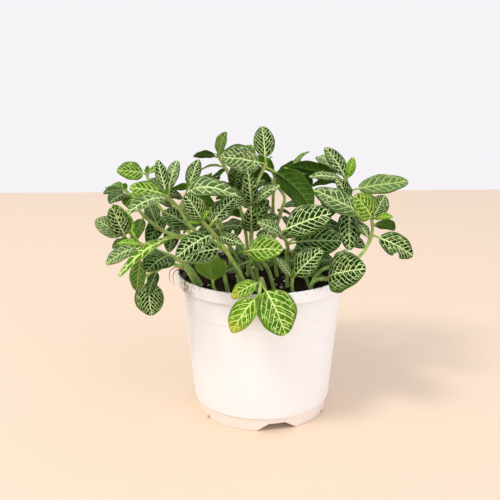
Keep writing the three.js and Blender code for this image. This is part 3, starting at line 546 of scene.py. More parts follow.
PLAN = [
    stem("stem_01", root=(-14, -14), shoots=[
        shoot(path=[(-15, -20, 96), (-25, -28, 112), (-37, -34, 121), (-45, -38, 135),
                    (-41, -36, 145)], leaves=[
            leaf(5, -35, -30, 162, 0.44, 1.2, "netted"),
            leaf(4.2, -13, -52, 145, 0.39, 0.9, "silvery", arch=0.34),
            leaf(4.7, -27, -28, 135, 0.51, -1.4, "dark"),
            leaf(3, -57, -22, 131, 0.55, 1.3, "dark"),
        ]),
        shoot(start=4, path=[(-49, -42, 140), (-52, -44, 144)], leaves=[
            leaf(2, -57, -38, 163, 0.33, 1.3, "netted"),
            leaf(2, -71, -52, 150, 0.46, 1.3, "lime"),
            leaf(1.1, -69, -72, 140, 0.28, 0.7, "silvery", arch=0.14),
            leaf(1.8, -45, -26, 161, 0.29, 0.9, "silvery"),
            leaf(1.7, -62, -34, 152, 0.46, 0.8, "dark"),
        ]),
    ]),
    stem("stem_02", root=(-22, 16), shoots=[
        shoot(path=[(-42, 18, 105), (-62, 26, 120), (-71, 32, 132), (-74, 36, 144)], leaves=[
            leaf(4, -92, 26, 148, 0.63, 1.7, "bright"),
            leaf(4, -63, 48, 147, 0.41, 0.9, "young"),
            leaf(3, -80, 14, 127, 0.46, 1, "dark"),
            leaf(2, -71, 0, 108, 0.39, 1.4, "dark"),
            leaf(3, -52, 44, 127, 0.51, 0.8, "dark"),
            leaf(1.6, -58, 6, 99, 0.46, 1.1, "dark"),
            leaf(2.6, -58, 36, 122, 0.46, 0.9, "dark"),
            leaf(4, -74, 46, 147, 0.37, 0.8, "silvery"),
        ]),
    ]),
    stem("stem_03", root=(-30, 4), shoots=[
        shoot(path=[(-44, 4, 103), (-64, 6, 115), (-77, 8, 127), (-83, 8, 138)], leaves=[
            leaf(4, -96, 0, 138, 0.42, 0.9, "dark"),
            leaf(4, -94, 18, 140, 0.46, 1, "plain", arch=0.1),
            leaf(3.7, -89, -16, 135, 0.46, 0.9, "dark"),
            leaf(4, -96, 10, 140, 0.31, 0.8, "plain", arch=0.06),
            leaf(2.6, -78, -8, 109, 0.41, 1.2, "plain"),
            leaf(2, -72, 22, 127, 0.46, 1, "dark"),
            leaf(3.9, -77, -12, 129, 0.51, 1.3, "bright"),
        ]),
    ]),
    stem("stem_04", root=(-32, -6), shoots=[
        shoot(path=[(-45, -10, 95), (-61, -20, 107), (-78, -28, 116)], leaves=[
            leaf(3, -84, -36, 137, 0.57, 1.6, "netted"),
            leaf(3, -96, -25, 127, 0.57, 1.2, "silvery"),
            leaf(2.8, -84, -40, 114, 0.46, 0.8, "dark"),
            leaf(2.6, -84, -6, 133, 0.28, 0.9, "young"),
        ]),
    ]),
    stem("stem_05", root=(-18, -26), shoots=[
        shoot(path=[(-24, -34, 103), (-35, -44, 119), (-46, -50, 123), (-57, -52, 121),
                    (-65, -54, 119)], leaves=[
            leaf(5, -84, -60, 110, 0.42, 1, "silvery"),
            leaf(3, -75, -74, 107, 0.18, 0.45, "bright", arch=0.12),
            leaf(5, -79, -50, 119, 0.37, 0.8, "young"),
        ]),
    ]),
    stem("stem_06", root=(-34, -14), shoots=[
        shoot(path=[(-42, -17, 94), (-54, -20, 103), (-64, -24, 108), (-70, -26, 107)], leaves=[
            leaf(2, -72, -46, 103, 0.55, 1.3, "dark"),
            leaf(4, -74, -26, 84, 0.42, 1.8, "plain"),
        ]),
    ]),
    stem("stem_07", root=(-36, -22), shoots=[
        shoot(path=[(-43, -25, 95), (-52, -29, 101), (-60, -32, 99), (-66, -34, 96)], leaves=[
            leaf(3, -64, -48, 88, 0.33, 1.5, "dark"),
            leaf(4, -64, -38, 73, 0.72, 1, "netted"),
        ]),
    ]),
    stem("stem_08", root=(-4, -30), shoots=[
        shoot(path=[(-12, -36, 96), (-18, -43, 109), (-25, -50, 122), (-32, -55, 132)], leaves=[
            leaf(4, -37, -60, 151, 0.64, 1.5, "netted"),
            leaf(4, -28, -62, 139, 0.46, 1.2, "young"),
            leaf(3.6, -15, -42, 142, 0.48, 1.5, "netted"),
            leaf(3, -11, -62, 121, 0.42, 1.2, "netted"),
            leaf(3.2, -45, -72, 117, 0.42, 1.3, "netted"),
            leaf(2.4, -45, -60, 113, 0.48, 1.5, "netted"),
            leaf(4, -39, -60, 133, 0.46, 1.2, "young"),
        ]),
    ]),
    stem("stem_09", root=(0, -8), shoots=[
        shoot(path=[(-4, -10, 97), (-6, -11, 114), (-6, -10, 131), (-3, -6, 143), (3, 0, 155)], leaves=[
            leaf(5, -24, -14, 161, 0.61, 1.6, "spotted", arch=0.06),
            leaf(5, 1, 8, 177, 0.55, 1.2, "netted"),
            leaf(4.9, 30, -16, 129, 0.48, -1.7, "dark", arch=0.16),
            leaf(4.9, -11, 6, 146, 0.57, -1.6, "dark"),
            leaf(3, -8, -24, 155, 0.33, 1.3, "netted"),
            leaf(3, -17, -20, 141, 0.53, 1.4, "netted"),
            leaf(2.1, 4, -18, 137, 0.39, 1.4, "dark"),
            leaf(3, 6, -28, 146, 0.31, 1.2, "silvery"),
            leaf(2.1, -6, -34, 136, 0.39, 1.4, "netted"),
        ]),
    ]),
    stem("stem_10", root=(-8, 12), shoots=[
        shoot(path=[(-9, 16, 104), (-13, 20, 125), (-18, 24, 141), (-26, 26, 156)], leaves=[
            leaf(4, -21, 18, 173, 0.48, 0.8, "plain"),
            leaf(4, -42, 18, 158, 0.39, -1.5, "dark"),
            leaf(3.6, -38, 30, 148, 0.31, 0.2, "plain"),
            leaf(3.2, -4, 40, 162, 0.46, 0.8, "bright"),
            leaf(2.4, -32, 4, 141, 0.46, 0.9, "dark"),
            leaf(2.4, 3, 34, 140, 0.46, 0.9, "dark"),
            leaf(2.6, -13, 12, 156, 0.48, 1.2, "dark"),
            leaf(1.5, -16, 20, 106, 0.46, 1, "dark"),
        ]),
    ]),
    stem("stem_11", root=(12, 10), shoots=[
        shoot(path=[(8, 10, 102), (12, 12, 121), (15, 12, 132), (11, 12, 139)], leaves=[
            leaf(4, 2, 6, 141, 0.37, 0.8, "dark"),
            leaf(4, 18, 22, 145, 0.37, 0.8, "young"),
            leaf(2, 1, 2, 119, 0.46, 1.2, "dark"),
            leaf(2, 19, 16, 113, 0.46, 1, "dark"),
            leaf(1.4, -3, 8, 109, 0.46, 1, "dark"),
        ]),
    ]),
    stem("stem_12", root=(22, 18), shoots=[
        shoot(path=[(25, 24, 102), (30, 30, 122), (26, 34, 136), (20, 36, 145)], leaves=[
            leaf(4, 33, 48, 157, 0.24, 0, "plain"),
            leaf(2.3, 27, 16, 147, 0.46, -1, "dark"),
            leaf(2, 40, 30, 120, 0.37, 0.8, "dark"),
            leaf(2, 16, 48, 120, 0.46, 0.7, "dark"),
        ]),
    ]),
    stem("stem_13", root=(26, 6), shoots=[
        shoot(path=[(34, 8, 94), (48, 14, 109), (56, 18, 126), (55, 22, 141)], leaves=[
            leaf(4, 41, 26, 162, 0.42, 1.2, "netted"),
            leaf(3.9, 31, 12, 149, 0.33, 0.6, "silvery"),
            leaf(4, 59, 24, 156, 0.42, 1.7, "young"),
            leaf(3.6, 95, 24, 140, 0.37, 1.1, "misty", arch=0.03),
            leaf(3.7, 19, 32, 149, 0.39, -1.2, "dark"),
            leaf(3.9, 36, 36, 136, 0.39, -0.8, "plain"),
            leaf(3, 46, 6, 145, 0.46, 1.3, "netted"),
            leaf(4, 39, 52, 153, 0.41, 0.6, "silvery"),
            leaf(3, 54, -4, 102, 0.46, 1.5, "netted"),
            leaf(1.9, 66, 8, 101, 0.46, 1.1, "netted"),
        ]),
    ]),
    stem("stem_14", root=(26, -20), shoots=[
        shoot(path=[(34, -20, 93), (53, -16, 98), (62, -12, 104), (67, -8, 114), (67, -6, 122)], leaves=[
            leaf(5, 32, 2, 139, 0.39, 1.3, "silvery", arch=0.03),
            leaf(5, 54, -18, 139, 0.69, 2.2, "bright"),
            leaf(5, 75, -2, 136, 0.69, 1.8, "netted"),
            leaf(5, 78, -14, 125, 0.42, 0.9, "young"),
            leaf(4.6, 83, 4, 113, 0.6, -1, "dark"),
            leaf(3.9, 92, -10, 100, 0.53, 1.6, "bitten"),
            leaf(3.6, 59, 0, 119, 0.46, 1, "netted"),
        ]),
    ]),
    stem("stem_15", root=(16, -12), shoots=[
        shoot(path=[(15, -16, 98), (15, -22, 111), (10, -28, 119)], leaves=[
            leaf(3, 39, -36, 132, 0.57, 1.6, "netted"),
            leaf(2.6, -3, -40, 128, 0.41, 1.2, "silvery"),
            leaf(2, 46, -28, 114, 0.68, 1.5, "dark"),
            leaf(2, 31, -4, 116, 0.46, 1, "dark"),
            leaf(1.5, 35, -24, 101, 0.46, 1.1, "dark"),
        ]),
    ]),
    stem("stem_16", root=(10, -24), shoots=[
        shoot(path=[(4, -28, 96), (-2, -36, 105), (-10, -42, 112)], leaves=[
            leaf(3, 11, -54, 116, 0.63, 1.7, "bright"),
            leaf(2.4, 3, -46, 124, 0.39, 1.2, "netted"),
            leaf(2.4, 0, -46, 102, 0.46, 1.2, "dark"),
        ]),
    ]),
    stem("stem_17", root=(21, -38), shoots=[
        shoot(path=[(17, -39, 89), (17, -40, 95)], leaves=[
            leaf(2, 33, -46, 114, 0.57, 1.4, "netted"),
            leaf(2, 8, -38, 107, 0.39, 1, "silvery"),
        ]),
    ]),
    stem("stem_18", root=(28, -30), shoots=[
        shoot(path=[(29, -32, 90), (40, -32, 93), (45, -30, 95)], leaves=[
            leaf(2, 43, -34, 113, 0.46, 1.5, "netted"),
            leaf(1.7, 59, -52, 105, 0.74, 1.6, "netted"),
        ]),
    ]),
    stem("stem_19", root=(6, -36), shoots=[
        shoot(path=[(0, -43, 95), (-1, -54, 97), (-2, -60, 93)], leaves=[
            leaf(2, 12, -65, 71, 0.74, 0.6, "lime"),
            leaf(3, -17, -68, 74, 0.55, 0.9, "yellowing"),
            leaf(1.8, -17, -58, 90, 0.57, 0.8, "yellowing"),
        ]),
    ]),
    stem("stem_20", root=(-22, -34), shoots=[
        shoot(path=[(-27, -37, 87), (-28, -38, 90)], leaves=[
            leaf(2, -30, -50, 112, 0.78, -0.2, "plain"),
        ]),
    ]),
    stem("stem_21", root=(15, 3), shoots=[
        shoot(path=[(18, 0, 94), (25, 2, 108), (32, 4, 117)], leaves=[
            leaf(3, 50, 14, 112, 0.46, 1, "dark"),
            leaf(3, 50, 22, 126, 0.41, 0.9, "dark"),
            leaf(2.3, 34, -12, 105, 0.46, 1.1, "dark"),
            leaf(2.3, 14, 14, 112, 0.46, 0.8, "dark"),
            leaf(3, 37, -2, 130, 0.37, 0.9, "netted"),
        ]),
    ]),
    stem("stem_22", root=(-12, 0), shoots=[
        shoot(path=[(-14, 0, 94), (-23, 0, 110), (-29, 2, 121)], leaves=[
            leaf(3, -47, 8, 122, 0.46, 0.9, "dark"),
            leaf(3, -14, 8, 129, 0.46, 0.9, "netted"),
            leaf(2.4, -38, -16, 115, 0.46, 1, "dark"),
            leaf(2.4, -8, -12, 120, 0.46, 1, "dark"),
            leaf(3, -26, 14, 132, 0.39, 1, "dark"),
        ]),
    ]),
    stem("stem_23", root=(0, -20), shoots=[
        shoot(path=[(-6, -22, 94), (-8, -24, 101)], leaves=[
            leaf(2, -21, -28, 96, 0.55, 1.4, "dark"),
            leaf(2, 8, -14, 98, 0.55, 1.4, "dark"),
            leaf(2, -15, -20, 110, 0.46, 1.3, "dark"),
        ]),
    ]),
    stem("stem_24", root=(32, -12), shoots=[
        shoot(path=[(26, -12, 92), (27, -12, 97)], leaves=[
            leaf(2, 14, -2, 95, 0.51, 1.4, "dark"),
            leaf(2, 44, -14, 98, 0.55, 1.4, "dark"),
            leaf(2, 24, -12, 111, 0.46, 1.3, "dark"),
            leaf(1, 36, -18, 88, 0.55, 1.5, "dark"),
        ]),
    ]),
]

# Stems at the back follow a rule: each stands a step further round and grows out over the rim,
# with pairs of leaves that turn by about a quarter from one pair to the next.
BACK_COUNT = 6
BACK_SEED = 11
BACK_FIRST_ANGLE = 33
BACK_ANGLE_STEP = 21
BACK_ROOT_RADIUS = 39
BACK_REACHES = (53, 62, 49)
BACK_HEIGHTS = (126, 108, 136)
BACK_PAIRS = ((1.55, 29), (2.15, 27), (2.65, 24), (3, 20))
BACK_LOOKS = ("netted", "netted", "bright", "young")
BACK_LEAF_WIDTH = 0.5
BACK_ANGLE_SCATTER = 8
BACK_REACH_SCATTER = 6
BACK_HEIGHT_SCATTER = 8
BACK_RIM_HEIGHT = 97
BACK_BEND_OUT, BACK_BEND_UP, BACK_BEND_EXTRA = 0.55, 0.62, 4
PAIR_TURN = 90
PAIR_FIRST_TURN = 20
PAIR_TURN_SCATTER = 40
LEAN_ALONG_STEM = 0.55
LEAF_SAG = 0.12

# Degrees sideways and up by which a leaf may be swung about its base, in the order tried.
TURNS = ((0, 0), (8, 0), (-8, 0), (0, 8), (0, -8), (16, 0), (-16, 0), (0, 16), (0, -16),
         (16, 16), (-16, 16), (16, -16), (-16, -16), (28, 0), (-28, 0), (0, 28), (0, -28))
LEAF_CLEARANCE = 2.5
STEM_CLEARANCE = 2.9
POT_CLEARANCE = 1.2
SOIL_CLEARANCE = 2.4
SAMPLE_ROWS = 11
SAMPLES_EACH_SIDE = 3
FIRST_SAMPLE, LAST_SAMPLE = 0.05, 0.97
PETIOLE_SAMPLES = (0.5, 0.75, 1)
NEAR_STEM = 0.35
STEM_PIECE = 0.5


def unit(v):
    return v / np.sqrt((v * v).sum(-1, keepdims=True))


def point_on_path(points, at):
    """A point on the smooth curve through the points, with at counted in points."""
    last = len(points) - 1
    first = min(int(floor(at)), last - 1)
    t = at - first
    before = points[first - 1] if first > 0 else 2 * points[0] - points[1]
    after = points[first + 2] if first + 2 <= last else 2 * points[last] - points[last - 1]
    p0, p1, p2, p3 = before, points[first], points[first + 1], after
    m1, m2 = 0.5 * (p2 - p0), 0.5 * (p3 - p1)
    return p1 + m1 * t + (3 * (p2 - p1) - 2 * m1 - m2) * t ** 2 + (2 * (p1 - p2) + m1 + m2) * t ** 3


def point_on_stem(points, at):
    """The same place on the CAD model's stem, which is straight from ring to ring."""
    before = floor(at / STEM_STEP) * STEM_STEP
    after = min(before + STEM_STEP, len(points) - 1)
    share = (at - before) / STEM_STEP
    return point_on_path(points, before) * (1 - share) + point_on_path(points, after) * share


class Leaf:
    """A leaf's surface: w runs along it from 0 at the stem to 1 at the tip, u along its blade
    and v across it from -1 to 1."""

    def __init__(self, base, tip, row, faces, order):
        self.base, self.look, self.width, self.arch = base, row["look"], row["width"], row["arch"]
        self.order = order
        self.length = float(np.linalg.norm(tip - base))
        self.along = (tip - base) / self.length
        skyward = np.array([faces[0] * row["front"], faces[1] * row["front"], 1.0])
        self.up = unit(skyward - self.along * (self.along @ skyward))
        self.side = np.cross(self.along, self.up)

    def midrib(self, w):
        rise = self.length * self.arch * 4 * w * (1 - w)
        return self.base + self.along * self.length * w + self.up * rise

    def normal(self, w):
        tangent = unit(self.along + self.up * (self.arch * 4 * (1 - 2 * w)))
        return unit(self.up - tangent * (tangent @ self.up)[..., None])

    def half_width(self, u):
        inside = np.clip(u, 0, 1)
        fullness = np.abs(np.sin(pi * inside ** OUTLINE_SHIFT)) ** OUTLINE_FULLNESS
        return np.where((u > 0) & (u < 1), 0.5 * self.width * self.length * fullness, 0)

    def rise(self, u, v, half):
        """How far the blade stands over its midrib: folded up, curled over and waved."""
        turns = WAVES_ALONG * u + WAVE_SHIFT_PER_LEAF * self.order
        wave = WAVE * np.sin(2 * pi * turns + np.where(v > 0, WAVE_SHIFT_OF_SIDE, 0)) * v * v
        return half * (FOLD * np.abs(v) - CURL * v * v + wave)

    def point(self, u, v):
        u, v = np.asarray(u, float)[..., None], np.asarray(v, float)[..., None]
        w = PETIOLE + (1 - PETIOLE) * u
        half = self.half_width(u)
        return self.midrib(w) + self.side * half * v + self.normal(w) * self.rise(u, v, half)

    def samples(self):
        """Points spread over the leaf, and which of them lie near the stem."""
        rows = FIRST_SAMPLE + (LAST_SAMPLE - FIRST_SAMPLE) * np.arange(SAMPLE_ROWS) / (SAMPLE_ROWS - 1)
        columns = np.arange(-SAMPLES_EACH_SIDE, SAMPLES_EACH_SIDE + 1) / SAMPLES_EACH_SIDE
        u, v = (grid.ravel() for grid in np.meshgrid(rows, columns, indexing="ij"))
        petiole = [self.midrib(share * PETIOLE) for share in PETIOLE_SAMPLES]
        near = np.append(u < NEAR_STEM, [True] * len(petiole))
        return np.vstack([self.point(u, v), petiole]), near


def random_source(seed, factor=16807, prime=2147483647):
    """A small repeatable random source, the same as the CAD model's."""
    state = seed
    while True:
        state = state * factor % prime
        yield state / prime


def back_stem(index, draws):
    """One of the stems at the back, in the same form as the PLAN's."""
    def scatter(size):
        return size * (next(draws) - 0.5)

    angle = radians(BACK_FIRST_ANGLE + BACK_ANGLE_STEP * index + scatter(BACK_ANGLE_SCATTER))
    outward = (cos(angle), sin(angle))
    reach = BACK_REACHES[index % 3] + scatter(BACK_REACH_SCATTER)
    height = BACK_HEIGHTS[index % 3] + scatter(BACK_HEIGHT_SCATTER)
    bend = BACK_ROOT_RADIUS + BACK_BEND_OUT * (reach - BACK_ROOT_RADIUS)
    bend_height = BACK_RIM_HEIGHT + BACK_BEND_UP * (height - BACK_RIM_HEIGHT) + BACK_BEND_EXTRA
    places = ((BACK_ROOT_RADIUS + BACK_BEND_EXTRA, BACK_RIM_HEIGHT), (bend, bend_height), (reach, height))
    path = [(outward[0] * radius, outward[1] * radius, z) for radius, z in places]
    root = (outward[0] * BACK_ROOT_RADIUS, outward[1] * BACK_ROOT_RADIUS)
    points = np.array([(*root, ROOT_Z)] + path)
    rows = []
    for step, ((at, pair_length), look) in enumerate(zip(BACK_PAIRS, BACK_LOOKS)):
        base = point_on_path(points, at)
        direction = unit(base - point_on_path(points, at - 0.1))
        across = unit(np.cross(direction, (0, 0, 1)))
        other = np.cross(across, direction)
        turn = radians(PAIR_FIRST_TURN + PAIR_TURN * step + scatter(PAIR_TURN_SCATTER))
        for side in (1, -1):
            length = pair_length * (0.9 + 0.2 * next(draws))
            spread = across * cos(turn) * side + other * sin(turn) * side + direction * LEAN_ALONG_STEM
            spread[2] -= LEAF_SAG
            tip = base + unit(spread) * length
            rows.append(leaf(at, *tip, BACK_LEAF_WIDTH, 0.5 + 0.5 * next(draws), look))
    name = f"stem_{len(PLAN) + index + 1:02d}"
    return stem(name, root, [shoot(path, rows)], faces=outward)


def clear_of_pot(places):
    """Whether points are above the soil or outside the pot, with room to spare."""
    radius = np.hypot(places[:, 0], places[:, 1])
    height = places[:, 2]
    inside = radius < NECK_TOP_RADIUS - WALL - POT_CLEARANCE
    below = np.where(inside, height > SOIL_TOP + SOIL_CLEARANCE, radius > RIM_RADIUS + POT_CLEARANCE)
    return (height > POT_HEIGHT + POT_CLEARANCE) | below


def ball(places):
    """The centre and radius of the ball round some points."""
    centre = places.mean(0)
    return centre, float(np.linalg.norm(places - centre, axis=1).max())


def clear_of_others(places, near, own, placed):
    """Whether a leaf's points keep clear of all that is placed. On its own stem, near ones may not."""
    centre, radius = ball(places)
    for other in placed:
        room = radius + other["radius"] + other["clearance"]
        if ((centre - other["centre"]) ** 2).sum() > room * room:
            continue
        same = other["stem"] == own
        mine = places[~near] if same else places
        theirs = other["places"][~other["near"]] if same else other["places"]
        gaps = ((mine[:, None] - theirs[None]) ** 2).sum(2)
        if gaps.size and gaps.min() < other["clearance"] ** 2:
            return False
    return True


def swing(base, tip, turn):
    """Swings a leaf's tip about its base by degrees sideways and up."""
    x, y, z = tip - base
    length = np.linalg.norm(tip - base)
    heading = np.arctan2(y, x) + radians(turn[0])
    rise = np.arctan2(z, hypot(x, y)) + radians(turn[1])
    level = length * cos(rise)
    return base + np.array([level * cos(heading), level * sin(heading), length * sin(rise)])


def thing(places, near, clearance, own):
    """Something that is placed: its points, its ball, and how clear of it others stay."""
    centre, radius = ball(places)
    return {"places": places, "near": near, "clearance": clearance, "stem": own, "centre": centre,
            "radius": radius}


def grow():
    """Places every shoot and then every leaf in order, each swung clear of those before it."""
    draws = random_source(BACK_SEED)
    stems = PLAN + [back_stem(index, draws) for index in range(BACK_COUNT)]
    placed = []
    for own, one in enumerate(stems):
        for part in one["shoots"]:
            start = (np.array([*one["root"], ROOT_Z], float) if part["start"] is None
                     else point_on_stem(one["shoots"][0]["points"], part["start"]))
            part["points"] = np.vstack([start, np.array(part["path"], float)])
            part["leaves"] = []
            for at in np.arange(STEM_PIECE / 2, len(part["points"]) - 1, STEM_PIECE):
                steps = at + STEM_PIECE * np.array([-0.5, -0.25, 0, 0.25, 0.5])
                places = np.array([point_on_path(part["points"], step) for step in steps])
                placed.append(thing(places, np.zeros(len(places), bool), STEM_CLEARANCE, own))
    order = 0
    for own, one in enumerate(stems):
        for part in one["shoots"]:
            for row in part["rows"]:
                base = point_on_stem(part["points"], row["at"])
                for turn in TURNS:
                    tip = swing(base, np.array(row["tip"], float), turn)
                    grown = Leaf(base, tip, row, one["faces"], order)
                    places, near = grown.samples()
                    if clear_of_pot(places)[~near].all() and clear_of_others(places, near, own, placed):
                        grown.at = row["at"]
                        part["leaves"].append(grown)
                        placed.append(thing(places, near, LEAF_CLEARANCE, own))
                        break
                order += 1
    return stems


# ---- The leafy stems ----------------------------------------------------------------------------
# Soft green stems, downy and a little thicker where a pair of leaves joins. Each leaf is a thin
# quilted blade that stands on a short petiole, deep green between a net of near-white veins.

STEM_RADIUS = 1.25
STEM_TIP_RADIUS = 0.85
STEM_SIDES = 12
STEM_RINGS_PER_POINT = 10
JOINT_SWELL = 0.28
JOINT_LENGTH = 0.16
BUD_LENGTH = 1.6

# The rings that close a shoot's end: how far each is along the bud, and its share of the radius.
BUD_RINGS = ((0.35, 0.9), (0.7, 0.6), (1.0, 0.2))

# The heights between which a stem, bare near the soil, turns downy.
DOWNY_FROM, DOWNY_AT = 84, 92

# A leaf: where its petiole starts and ends in shares of its length, the half widths between which
# it opens into the blade, and the blade's thickness, midrib and quilting.
PETIOLE_START = 0.01
PETIOLE_HALF_WIDTH = 0.62
PETIOLE_TOP, PETIOLE_BELOW = 0.35, 0.75
PETIOLE_ENDS = 0.12
BLADE_OPENS, BLADE_OPEN = 0.3, 2.5
BLADE_HALF_THICKNESS = 0.2
MIDRIB_BELOW, MIDRIB_WIDTH = 0.5, 0.65
MIDRIB_GROOVE, GROOVE_WIDTH = 0.14, 0.45
THINNER_AT_TIP = 0.6
PETIOLE_ROWS = 5
BLADE_ROWS = 50
COLUMNS = 24
EDGE_CROWDING = 0.3
QUILT = 0.011
QUILT_ROUNDNESS = 0.7
QUILT_OFF_MIDRIB = (0.01, 0.05)
QUILT_OFF_TIP = 0.15
FULL_THICKNESS_LENGTH = 14

# The bite in one leaf's edge: its place and reach along the blade, the share of the half blade that
# is gone, and how far out from the midrib it is at full depth.
BITE = {"place": 0.55, "reach": 0.07, "depth": 0.45, "full_depth": 0.8}

# Each shoot ends in a pair of unfolding leaves that turn a quarter from the last full pair.
TIP_LEAF = {"tip": None, "width": 0.42, "front": 0.4, "look": "unfolding", "arch": 0.10}
TIP_LENGTHS = (6.5, 5.2)
TIP_SPREAD = 0.75
TIP_ROWS, TIP_COLUMNS = 14, 10

HAIRS_PER_AREA = 1.3 / MM ** 2
HAIR_LENGTH = 0.8 * MM
HAIR_THICKNESS = 0.035 * MM
LOOK_SEED = 23

# The vein net: how many side veins a leaf has, how they lean and bend forward as they near the
# edge, how wide the strip between two is, how many cross veins come in its width, how these
# slant, and how much veins and cross veins wander.
VEIN_COUNT, VEINS_LOST_YOUNG = 7.8, 3.0
VEIN_LEAN = 0.95
VEIN_BEND = 1.6
VEIN_HOOK = 2.6
HOOK_START = 0.72
SIDE_OFFSET = 0.3
STRIP_WIDTH = 0.8
RUNGS_PER_STEP = 1.65
RUNG_SLANT = 0.5
VEIN_WANDER, WANDER_SCALE = 0.042, 7.0
RUNG_WANDER, RUNG_WANDER_SCALE = 1.7, 1.6
PARTED_CELLS = 0.3

# How far each leaf, each side of it and each strip is shifted in the patterns, so none is alike.
LEAF_SHIFT, SIDE_SHIFT, STRIP_SHIFT, RUNG_SHIFT, TONE_SHIFT = 50.0, 7.7, 17.3, 4.65, 31.0

# A vein's half width where it is full and where it ends. Those that taper have two numbers, the
# width at the thin end and what it gains towards the thick one.
MIDRIB_FULL, MIDRIB_END = (0.004, 0.006), (0.011, 0.010)
SIDE_VEIN_FULL, SIDE_VEIN_END = (0.014, 0.025), (0.068, 0.036)
CROSS_VEIN = (0.008, 0.058)
MARGIN_VEIN = (0.012, 0.035)
FINE_VEIN_STRENGTH = 0.70

# The cells' colours, from dark to light: first of an old leaf, then of a young one.
CELLS_ABOVE = (("#071D02", "#1F5006"), ("#4A860A", "#7DB01A"))
# The undersides' greens are darkened with painted shade, for undersides that lie in shadow.
CELLS_BELOW = (("#35551A", "#496C24"), ("#5E8A22", "#7BA236"))

# How each sort of leaf looks: its youth, the strength of its net, and its painted sheen, a grey-green wash
# that stands in for light glancing off the leaf.
LOOKS = {
    "netted": (0.0, 1.0, 0.0),
    "bright": (0.55, 0.9, 0.0),
    "young": (0.85, 0.55, 0.0),
    "silvery": (0.1, 0.9, 0.4),
    # Dark leaves have a weak net: partly their own plainer net, partly painted shade for leaves that lie in
    # shadow.
    "dark": (0.0, 0.35, 0.0),
    "plain": (0.35, 0.25, 0.15),
    "misty": (0.3, 0.45, 0.5),
    "lime": (0.55, 1.0, 0.0),
    "yellowing": (0.7, 1.0, 0.0),
    "spotted": (0.1, 0.9, 0.35),
    "bitten": (0.0, 1.0, 0.0),
    "unfolding": (0.9, 0.35, 0.0),
}
WORN = {"yellowing": 1.0, "spotted": 0.5}


class Growth:
    """The points, faces and marks of one leafy stem, gathered part by part."""

    def __init__(self):
        self.vertices, self.faces, self.slots = [], [], []
        self.leaf, self.look, self.marks = [], [], []

    def add_rings(self, rings, slots, leaf_places, look, marks):
        """A closed skin over rings of points, with a point at each end. slots gives each column's
        material, leaf_places each point's place on its leaf, and marks its seed, its down and its
        wear, which on a stem is how far it swells at a joint."""
        first = sum(len(v) for v in self.vertices)
        rows, count = rings.shape[:2]
        start, end = first + rows * count, first + rows * count + 1
        ends = np.array([rings[0].mean(0), rings[-1].mean(0)])
        self.vertices += [rings.reshape(-1, 3), ends]
        self.leaf += [leaf_places.reshape(-1, 3), leaf_places[[0, -1]].mean(1)]
        self.look += [np.tile(look, (rows * count + 2, 1))]
        self.marks += [marks.reshape(-1, 3), marks[[0, -1]].mean(1)]
        for row in range(rows - 1):
            here = first + row * count
            for i in range(count):
                j = (i + 1) % count
                self.faces.append((here + i, here + j, here + count + j, here + count + i))
                self.slots.append(slots[i])
        last = first + (rows - 1) * count
        for i in range(count):
            j = (i + 1) % count
            self.faces += [(start, first + j, first + i), (end, last + i, last + j)]
            self.slots += [slots[i], slots[i]]

    def piece(self, name, materials):
        piece = new_piece(name, np.vstack(self.vertices), self.faces, materials)
        piece.data.polygons.foreach_set("material_index", self.slots)
        for label, values in (("leaf", self.leaf), ("look", self.look), ("marks", self.marks)):
            attribute = piece.data.attributes.new(label, "FLOAT_VECTOR", "POINT")
            attribute.data.foreach_set("vector", np.vstack(values).astype(np.float32).ravel())
        return piece


def smooth_step(x, low, high):
    """0 under low, 1 over high, and a smooth rise between them."""
    t = np.clip((x - low) / (high - low), 0, 1)
    return t * t * (3 - 2 * t)


def tube(centres, radii, sides):
    """Rings of points about a bent line, without twist."""
    tangents = unit(np.gradient(centres, axis=0))
    across = unit(np.cross(tangents[0], (0.3, 1, 0.2)))
    angles = 2 * pi * np.arange(sides) / sides
    rings = []
    for centre, tangent, radius in zip(centres, tangents, radii):
        across = unit(across - tangent * (across @ tangent))
        other = np.cross(tangent, across)
        rings.append([centre + radius * (across * cos(a) + other * sin(a)) for a in angles])
    return np.array(rings)


def add_stem(growth, part, seed):
    """A shoot as a tapered tube with a swelling at each pair of leaves and a bud at its end."""
    points = part["points"]
    last = len(points) - 1
    stops = np.linspace(0, last, last * STEM_RINGS_PER_POINT + 1)
    centres = np.array([point_on_path(points, at) for at in stops])
    forward = unit(centres[-1] - centres[-2])
    bud = [centres[-1] + forward * BUD_LENGTH * along for along, _ in BUD_RINGS]
    centres = np.vstack([centres] + bud)
    radii = STEM_RADIUS + (STEM_TIP_RADIUS - STEM_RADIUS) * stops / last
    joints = sorted({grown.at for grown in part["leaves"]})
    swell = sum(np.exp(-((stops - at) / JOINT_LENGTH) ** 2) for at in joints) if joints else 0 * stops
    swell = np.minimum(swell, 1)
    bud_radii = [STEM_TIP_RADIUS * share for _, share in BUD_RINGS]
    radii = np.append(radii * (1 + JOINT_SWELL * swell), bud_radii)
    swell = np.append(swell, [0] * len(BUD_RINGS))
    rings = tube(centres, radii, STEM_SIDES)
    marks = np.zeros(rings.shape)
    marks[..., 0] = seed
    marks[..., 1] = smooth_step(rings[..., 2], DOWNY_FROM, DOWNY_AT)
    marks[..., 2] = swell[:, None]
    growth.add_rings(rings, [2] * STEM_SIDES, np.zeros(rings.shape), (0, 0, 0), marks)


def vein_phase(u, across, v, veins):
    """Counts the side veins along a leaf: it passes a whole number on each vein."""
    hook = np.maximum(np.abs(v) - HOOK_START, 0) ** 2
    lean = u - VEIN_LEAN * np.abs(across) - VEIN_BEND * across ** 2 - VEIN_HOOK * hook
    return lean * veins + np.where(across > 0, SIDE_OFFSET, 0)


